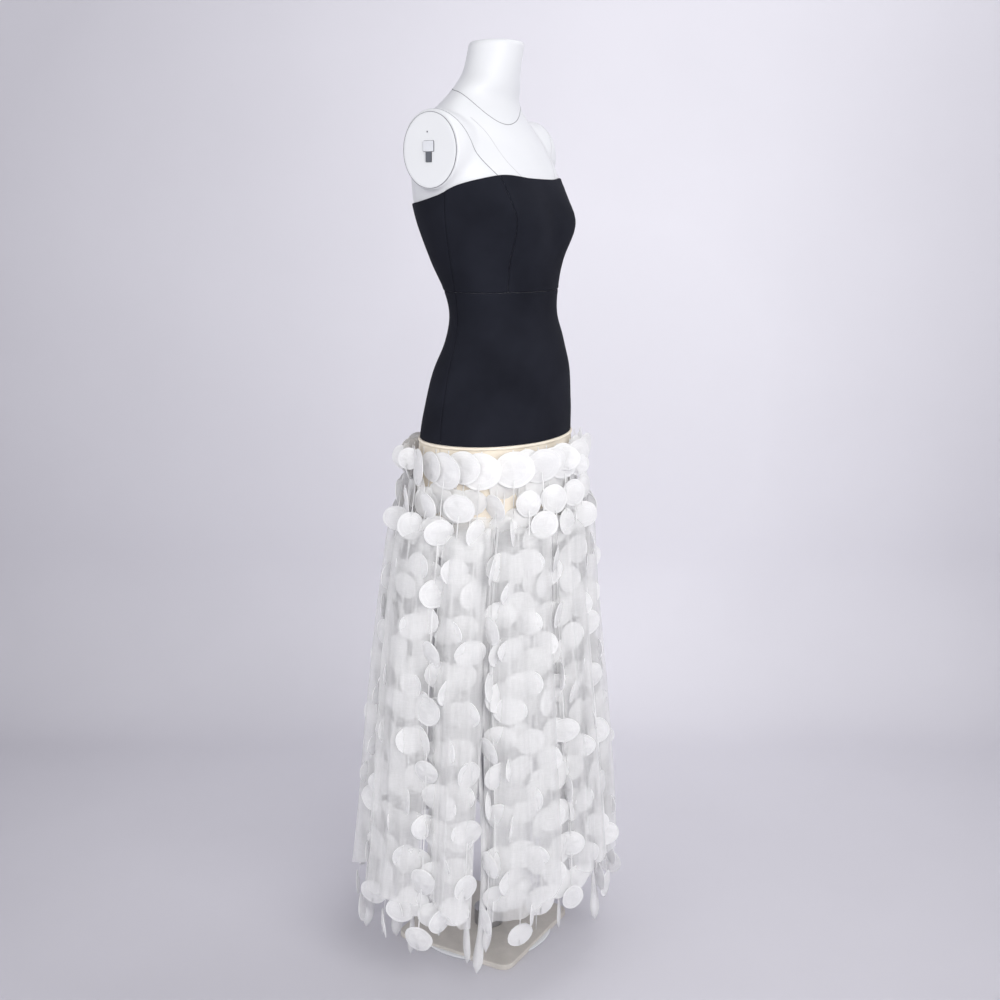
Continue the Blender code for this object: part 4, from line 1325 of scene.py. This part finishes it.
def make_chest(material):
    """The torso from the bust up, with both arm stubs blended in."""
    top = FIGURE[-1].height
    heights = np.append(np.linspace(FORM_SPLIT, top - END_ROUND, CHEST_ROWS),
                        top - END_ROUND * END_STEPS[::-1])
    shape = bmesh.new()
    add_loft(shape, form_rings(heights, CHEST_SIDES, top))
    for side in (-1, 1):
        rings = arm_rings(side)
        add_loft(shape, rings if side > 0 else rings[::-1])
    rough = link_object("form_chest_shape", mesh_of(shape, "form_chest_shape"))
    remesh = rough.modifiers.new("one_skin", "REMESH")
    remesh.mode = "VOXEL"
    remesh.voxel_size = FORM_VOXEL
    blended = link_object("form_chest", take_mesh(rough))
    shoulder = blended.vertex_groups.new(name="shoulder")
    even = blended.vertex_groups.new(name="all_over")
    for vertex in blended.data.vertices:
        out, from_end = abs(vertex.co.x), ARM_END_X - abs(vertex.co.x)
        reach = float(smooth_step(*SHOULDER_OUT, out))
        away_from_end = 1.0 - float(smooth_step(*SHOULDER_END, from_end))
        shoulder.add([vertex.index], reach * away_from_end, "REPLACE")
        even.add([vertex.index], 1.0 - float(smooth_step(*SMOOTH_END, from_end)), "REPLACE")
    for name, passes in SMOOTHINGS:
        smooth = blended.modifiers.new(name, "SMOOTH")
        smooth.factor = 0.5
        smooth.iterations = passes
        smooth.vertex_group = name
    chest = finish_object("form_chest", take_mesh(blended), material, "form_white_gloss")
    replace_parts(chest, "form_torso")


def make_hips(material):
    """The torso from below the hips to the bust, which the dress covers."""
    low = FIGURE[0].height
    heights = np.append(low + END_ROUND * END_STEPS,
                        np.linspace(low + END_ROUND, FORM_SPLIT, HIP_ROWS))
    shape = bmesh.new()
    add_loft(shape, form_rings(heights, HIP_SIDES, low))
    hips = finish_object("form_hips", mesh_of(shape, "form_hips"), material, "form_white_gloss")
    hips.data.set_sharp_from_angle(angle=math.radians(HIPS_SHARP))
    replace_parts(hips, "form_torso")


def make_arm_caps(material):
    """The flat oval cover on each arm end, with an eased rim and a fine gap round it."""
    for side, word in ((-1, "right"), (1, "left")):
        rings = []
        for out, inset in CAP_PROFILE:
            y, z = arm_oval(ARM_STUB[-1], inset, turns_round(CAP_SIDES))
            x = np.full(CAP_SIDES, side * (ARM_END_X - CAP_DEPTH + out))
            rings.append(np.stack([x, y, z], axis=1))
        shape = bmesh.new()
        add_loft(shape, rings)
        name = "arm_cap_" + word
        cap = finish_object(name, mesh_of(shape, name), material, "form_white_gloss")
        cap.data.set_sharp_from_angle(angle=math.radians(CAP_SHARP))


# Fine joint lines on the form, on the wearer's right; the left side mirrors them
ARMHOLE_LINE = table(
    "x y z",
    (-0.156, -0.006, 1.477),
    (-0.153, -0.026, 1.471),
    (-0.149, -0.040, 1.460),
    (-0.144, -0.050, 1.450),
    (-0.138, -0.056, 1.434),
    (-0.126, -0.063, 1.412),
    (-0.118, -0.074, 1.395),
    (-0.106, -0.089, 1.377),
    (-0.095, -0.100, 1.364),
)
STRAP_LINE = table(
    "x y z",
    (-0.102, -0.045, 1.471),
    (-0.090, -0.061, 1.452),
    (-0.087, -0.074, 1.430),
    (-0.083, -0.085, 1.410),
    (-0.076, -0.094, 1.395),
    (-0.066, -0.101, 1.384),
    (-0.056, -0.108, 1.372),
)
NECK_LINE = table(
    "degrees height",
    (-180.0, 1.519),
    (-150.0, 1.518),
    (-110.0, 1.512),
    (-82.0, 1.500),
    (-67.0, 1.485),
    (-57.0, 1.474),
    (-45.0, 1.464),
    (-35.0, 1.459),
    (-22.0, 1.457),
    (-8.0, 1.460),
    (8.0, 1.465),
    (24.0, 1.472),
    (45.0, 1.484),
    (80.0, 1.502),
    (120.0, 1.514),
    (150.0, 1.518),
    (179.0, 1.519),
)
LINE_WIDTH, LINE_THICKNESS, LINE_STEP, LINE_SMOOTHINGS = 0.0010, 0.0005, 0.003, 12
RIM_POINTS, RIM_GAP, RIM_INSET, RIM_DEPTH = 90, 0.005, 0.0002, 0.0012


def line_on(skin, points):
    """A flat line laid on the skin, a BVH tree, along points near it."""
    points = np.array(points)
    walked = np.append(0.0, np.cumsum(np.linalg.norm(np.diff(points, axis=0), axis=1)))
    at = np.linspace(0.0, walked[-1], int(walked[-1] / LINE_STEP))
    path = np.stack([np.interp(at, walked, points[:, axis]) for axis in range(3)], axis=1)
    for _ in range(LINE_SMOOTHINGS):
        path[1:-1] = (path[:-2] + 2.0 * path[1:-1] + path[2:]) / 4.0
    nearest = [skin.find_nearest(Vector(point)) for point in path]
    places = np.array([np.array(found[0]) for found in nearest])
    normals = np.array([np.array(found[1]) for found in nearest])
    wides = np.cross(normals, np.gradient(places, axis=0))
    wides /= np.linalg.norm(wides, axis=1)[:, None]
    return ribbon_form(places, wides, [LINE_WIDTH] * len(places), LINE_THICKNESS)


def make_form_lines(joint, faint):
    """The joints of the form's shell: dark lines round the neck and down from each arm, and a ring
    of painted shade in the fine gap round each arm end.
    """
    chest = bpy.data.objects["form_chest"].data
    skin = BVHTree.FromPolygons([vertex.co for vertex in chest.vertices],
                                [face.vertices for face in chest.polygons])
    joints, straps = Build(), Build()
    neck = [figure_points(point.height, math.radians(point.degrees)) for point in NECK_LINE]
    joints.add(*line_on(skin, neck))
    # The dark ring round each arm end is painted shade in the fine gap round its cap
    end = ARM_STUB[-1]
    y, z = arm_oval(end, RIM_INSET, np.linspace(0.0, 2.0 * math.pi - RIM_GAP, RIM_POINTS))
    z_middle = (end.low + end.high) / 2.0
    out = np.stack([np.zeros(RIM_POINTS), y - end.middle, z - z_middle], axis=1)
    for side in (-1.0, 1.0):
        armhole = joints if side < 0 else straps
        for build, line in ((armhole, ARMHOLE_LINE), (straps, STRAP_LINE)):
            build.add(*line_on(skin, [(-side * point.x, point.y, point.z) for point in line]))
        rim = out + np.array([side * (ARM_END_X - RIM_DEPTH), end.middle, z_middle])
        wides = side * out / np.linalg.norm(out, axis=1)[:, None]
        joints.add(*ribbon_form(rim, wides, [LINE_WIDTH] * RIM_POINTS, LINE_THICKNESS))
    joints.piece("form_joint_lines", joint, None)
    straps.piece("form_strap_lines", faint, None)


# The sunk edge round each arm fitting, shown as painted shade by a thin dark plate, and the screw
# above it
SUNK_MARGIN, SUNK_CORNER, SUNK_PROUD = 0.0006, 0.0014, 0.0002
SCREW_Y, SCREW_HEIGHT, SCREW_RADIUS, SCREW_PROUD = 0.0005, 1.4408, 0.0013, 0.0004
SCREW_ROUND = 0.9
# How far a plate reaches into the arm, its eased edge, and the steps round each of its corners
PLATE_ROOT, PLATE_EDGE, CORNER_STEPS = 0.0008, 0.0002, 4


def rounded_outline(half_width, half_height, corner):
    points = []
    for quarter, (sign_y, sign_z) in enumerate(((1, 1), (-1, 1), (-1, -1), (1, -1))):
        for step in range(CORNER_STEPS + 1):
            angle = math.radians(90.0 * (quarter + step / CORNER_STEPS))
            points.append((sign_y * (half_width - corner) + corner * math.cos(angle),
                           sign_z * (half_height - corner) + corner * math.sin(angle)))
    return np.array(points)


def plate_form(side, middle_y, middle_height, half_width, half_height, corner, proud):
    """A thin plate with eased edges on an arm end, from inside the arm out."""
    rings = []
    for out, inset in ((-PLATE_ROOT, 0.0), (proud - PLATE_EDGE, 0.0), (proud, PLATE_EDGE)):
        outline = rounded_outline(half_width - inset, half_height - inset, corner - inset)
        x = np.full(len(outline), side * (ARM_END_X + out))
        rings.append(np.stack([x, middle_y + outline[:, 0], middle_height + outline[:, 1]], axis=1))
    count = len(rings[0])
    points = np.concatenate(rings)
    faces = grid_faces(len(rings), count, flip=side > 0, closed=True)
    low, high = list(range(count)), list(range(2 * count, 3 * count))
    faces += [low if side < 0 else low[::-1], high[::-1] if side < 0 else high]
    return points, faces, np.zeros((len(points), 2))


def make_arm_plates(joint):
    plates, screws = Build(), Build()
    for side in (-1, 1):
        # Dark plates a little larger than the fitting's bar and stem: painted shade in its sunk edge
        for (width, height), above in ((FITTING_BAR, 1.0), (FITTING_STEM, -1.0)):
            plates.add(*plate_form(side, FITTING_Y, FITTING_HEIGHT + above * height / 2.0,
                                   width / 2.0 + SUNK_MARGIN, height / 2.0 + SUNK_MARGIN,
                                   SUNK_CORNER, SUNK_PROUD))
        screws.add(*plate_form(side, SCREW_Y, SCREW_HEIGHT, SCREW_RADIUS, SCREW_RADIUS,
                               SCREW_ROUND * SCREW_RADIUS, SCREW_PROUD))
    plates.piece("arm_fitting_edges", joint, None)
    screws.piece("arm_screws", joint, None)


# The white round foot that shows beyond the middle of each side of the base plate
FOOT_RADIUS, FOOT_INNER, FOOT_LOW, FOOT_HIGH, FOOT_EDGE = 0.1275, 0.105, 0.0006, 0.0052, 0.0014
FOOT_SIDES = 144


def make_foot(material):
    """A flat ring with eased edges under the base plate, turned from its profile."""
    profile = (
        (FOOT_INNER, FOOT_LOW),
        (FOOT_RADIUS - FOOT_EDGE, FOOT_LOW),
        (FOOT_RADIUS, FOOT_LOW + FOOT_EDGE),
        (FOOT_RADIUS, FOOT_HIGH - FOOT_EDGE),
        (FOOT_RADIUS - FOOT_EDGE, FOOT_HIGH),
        (FOOT_INNER, FOOT_HIGH),
    )
    angles = turns_round(FOOT_SIDES)
    points = [(radius * math.cos(angle), radius * math.sin(angle), height)
              for radius, height in profile for angle in angles]
    new_object("base_foot", points, tube_faces(len(profile), FOOT_SIDES), material,
               "form_white_gloss")


# Stage, lights and camera

CAMERA_PLACE = (-1.890, -1.126, 1.300)
CAMERA_LEVEL = math.radians(-12.2)
# The middle of the backdrop's painted pool of light, and the distances over which it fades out
PAINTED_LIGHT_PLACE, PAINTED_LIGHT_REACH = (0.22, 0.95, 0.80), (0.75, 1.80)
VIEW_WAY = (math.cos(math.radians(30.0)), math.sin(math.radians(30.0)))
SENSOR_WIDTH, FOCAL_SHARE = 36.0, 1.275


def make_camera():
    """The photograph's view: 60 degrees round to the wearer's right, looking a little down."""
    data = bpy.data.cameras.new("camera")
    data.sensor_width = SENSOR_WIDTH
    data.lens = SENSOR_WIDTH * FOCAL_SHARE
    data.clip_start, data.clip_end = 0.05, 50.0
    camera = link_object("camera", data)
    camera.location = CAMERA_PLACE
    look = Vector((
        VIEW_WAY[0] * math.cos(CAMERA_LEVEL),
        VIEW_WAY[1] * math.cos(CAMERA_LEVEL),
        math.sin(CAMERA_LEVEL),
    ))
    camera.rotation_euler = look.to_track_quat("-Z", "Y").to_euler()
    bpy.context.scene.camera = camera


def stage_place(right, forward, height):
    """A point by its distance right of the view's middle, away from the camera and up."""
    return (
        VIEW_WAY[1] * right + VIEW_WAY[0] * forward,
        -VIEW_WAY[0] * right + VIEW_WAY[1] * forward,
        height,
    )


STAGE_FLOOR, STAGE_HALF_WIDTH, STAGE_TOP = -6.0, 6.0, 5.0
WALL_AT, SWEEP_RADIUS, SWEEP_STEPS = 1.25, 0.40, 16


def make_stage(material):
    """A pale floor that sweeps up into a plain wall behind the dress."""
    floor_end = WALL_AT - SWEEP_RADIUS
    profile = [(STAGE_FLOOR, 0.0), (floor_end, 0.0)]
    for step in range(1, SWEEP_STEPS + 1):
        angle = 0.5 * math.pi * step / SWEEP_STEPS
        profile.append((floor_end + SWEEP_RADIUS * math.sin(angle),
                        SWEEP_RADIUS * (1.0 - math.cos(angle))))
    profile.append((WALL_AT, STAGE_TOP))
    points = [stage_place(right, forward, height)
              for forward, height in profile for right in (-STAGE_HALF_WIDTH, STAGE_HALF_WIDTH)]
    mesh = mesh_from("studio_sweep", points, grid_faces(len(profile), 2))
    mesh.shade_smooth()
    mesh.materials.append(material)
    link_object("studio_sweep", mesh)


# Soft lights, with their place and target by stage_place, their size, power and colour
LIGHTS = table(
    "name place target size power colour",
    ("key", (0.8, -1.7, 1.7), (0.0, 0.0, 1.0), (1.4, 1.4), 23.3, (1.0, 0.99, 0.98)),
    ("fill", (-1.5, -1.3, 1.5), (0.0, 0.0, 1.0), (1.4, 1.4), 4.0, (1.0, 0.99, 0.98)),
    ("low_fill", (-1.5, -1.2, 0.70), (0.0, 0.0, 0.60), (1.2, 0.8), 4.5, (1.0, 1.0, 1.0)),
    ("low_key", (1.4, -1.2, 0.80), (0.0, 0.0, 0.65), (1.2, 0.8), 2.2, (1.0, 1.0, 1.0)),
    ("wall", (0.9, 0.5, 3.0), (0.6, 1.25, 1.4), (1.4, 0.6), 12.0, (1.0, 1.0, 1.0)),
)
# The strength of the light from all round at eye level, and from overhead
SKY_COLOUR, SKY_STRENGTHS = (0.89, 0.89, 0.92, 1.0), (1.27, 0.46)


def add_light(light):
    data = bpy.data.lights.new(light.name, "AREA")
    data.shape = "RECTANGLE"
    data.size, data.size_y = light.size
    data.energy = light.power
    data.color = light.colour
    lamp = link_object(light.name, data)
    lamp.location = stage_place(*light.place)
    aim = Vector(stage_place(*light.target)) - Vector(lamp.location)
    lamp.rotation_euler = aim.to_track_quat("-Z", "Y").to_euler()


def make_lights():
    world = bpy.data.worlds.new("studio")
    world.use_nodes = True
    tree = world.node_tree
    way = add_node(tree, "ShaderNodeTexCoord").outputs["Generated"]
    level = ranged(tree, height_of(tree, way), 0.1, 0.8, *SKY_STRENGTHS)
    set_inputs(tree, tree.nodes["Background"], Color=SKY_COLOUR, Strength=level)
    scene = bpy.context.scene
    scene.world = world
    for light in LIGHTS:
        add_light(light)
    scene.cycles.transparent_max_bounces = 14
    scene.cycles.diffuse_bounces = 5
    scene.view_settings.view_transform = "Standard"
    scene.view_settings.look = "None"
    scene.view_settings.exposure = 0.0


def finish_cad_nodes(steel, key, plate):
    """Better finishes for the nodes that show as they are."""
    for node, material in (
        ("stand_pole", steel), ("arm_fitting_right", key), ("arm_fitting_left", key),
        ("base_plate", plate),
    ):
        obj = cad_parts[node]
        obj.data.materials.clear()
        obj.data.materials.append(material)


def main():
    make_camera()
    make_stage(stage_material("studio_paper", (0.55, 0.54, 0.585), (0.76, 0.75, 0.80)))
    make_lights()
    crepe = crepe_material()
    ivory = woven_material("ivory_yoke", (0.80, 0.72, 0.60), (0.88, 0.81, 0.70), 0.75)
    white = ((0.92, 0.92, 0.925), (0.97, 0.97, 0.97))
    bright = ((0.93, 0.93, 0.93), (0.97, 0.97, 0.97))
    organza = organza_material("white_organza", *white, DISC_BANDS, solid=0.66, denser=0.20,
                               through=0.28, firm_top=0.25)
    lined = organza_material("white_organza_lined", *bright, DISC_BANDS, solid=1.0, denser=0.0,
                             through=0.40)
    sheer = organza_material("sheer_organza", *bright, VEIL_BANDS, solid=0.92, denser=0.06,
                             through=0.36)
    over = organza_material("sheer_organza_outer", *bright, VEIL_BANDS, solid=0.41, denser=0.25,
                            through=0.34, streaks=0.07)
    gloss = gloss_material()
    steel = brushed_metal("bright_steel", 0.34, worn_steel)
    key = brushed_metal("arm_fitting_metal", 0.36, fitting_colour_with_painted_slot_shade)
    joint = paint_material("form_joint_shadow", (0.17, 0.17, 0.19), (0.24, 0.24, 0.26), 0.6)
    faint = paint_material("form_joint_filled", (0.50, 0.50, 0.52), (0.58, 0.58, 0.60), 0.5)
    plate = paint_material("base_plate_paint", (0.53, 0.50, 0.46), (0.62, 0.585, 0.54), 0.5)
    make_bodice(crepe)
    make_yoke(ivory, make_skirt(organza, lined, sheer, ivory))
    make_veil(sheer)
    make_over_panels(over)
    make_chest(gloss)
    make_hips(gloss)
    make_arm_caps(gloss)
    make_form_lines(joint, faint)
    make_arm_plates(joint)
    make_foot(gloss)
    finish_cad_nodes(steel, key, plate)


main()
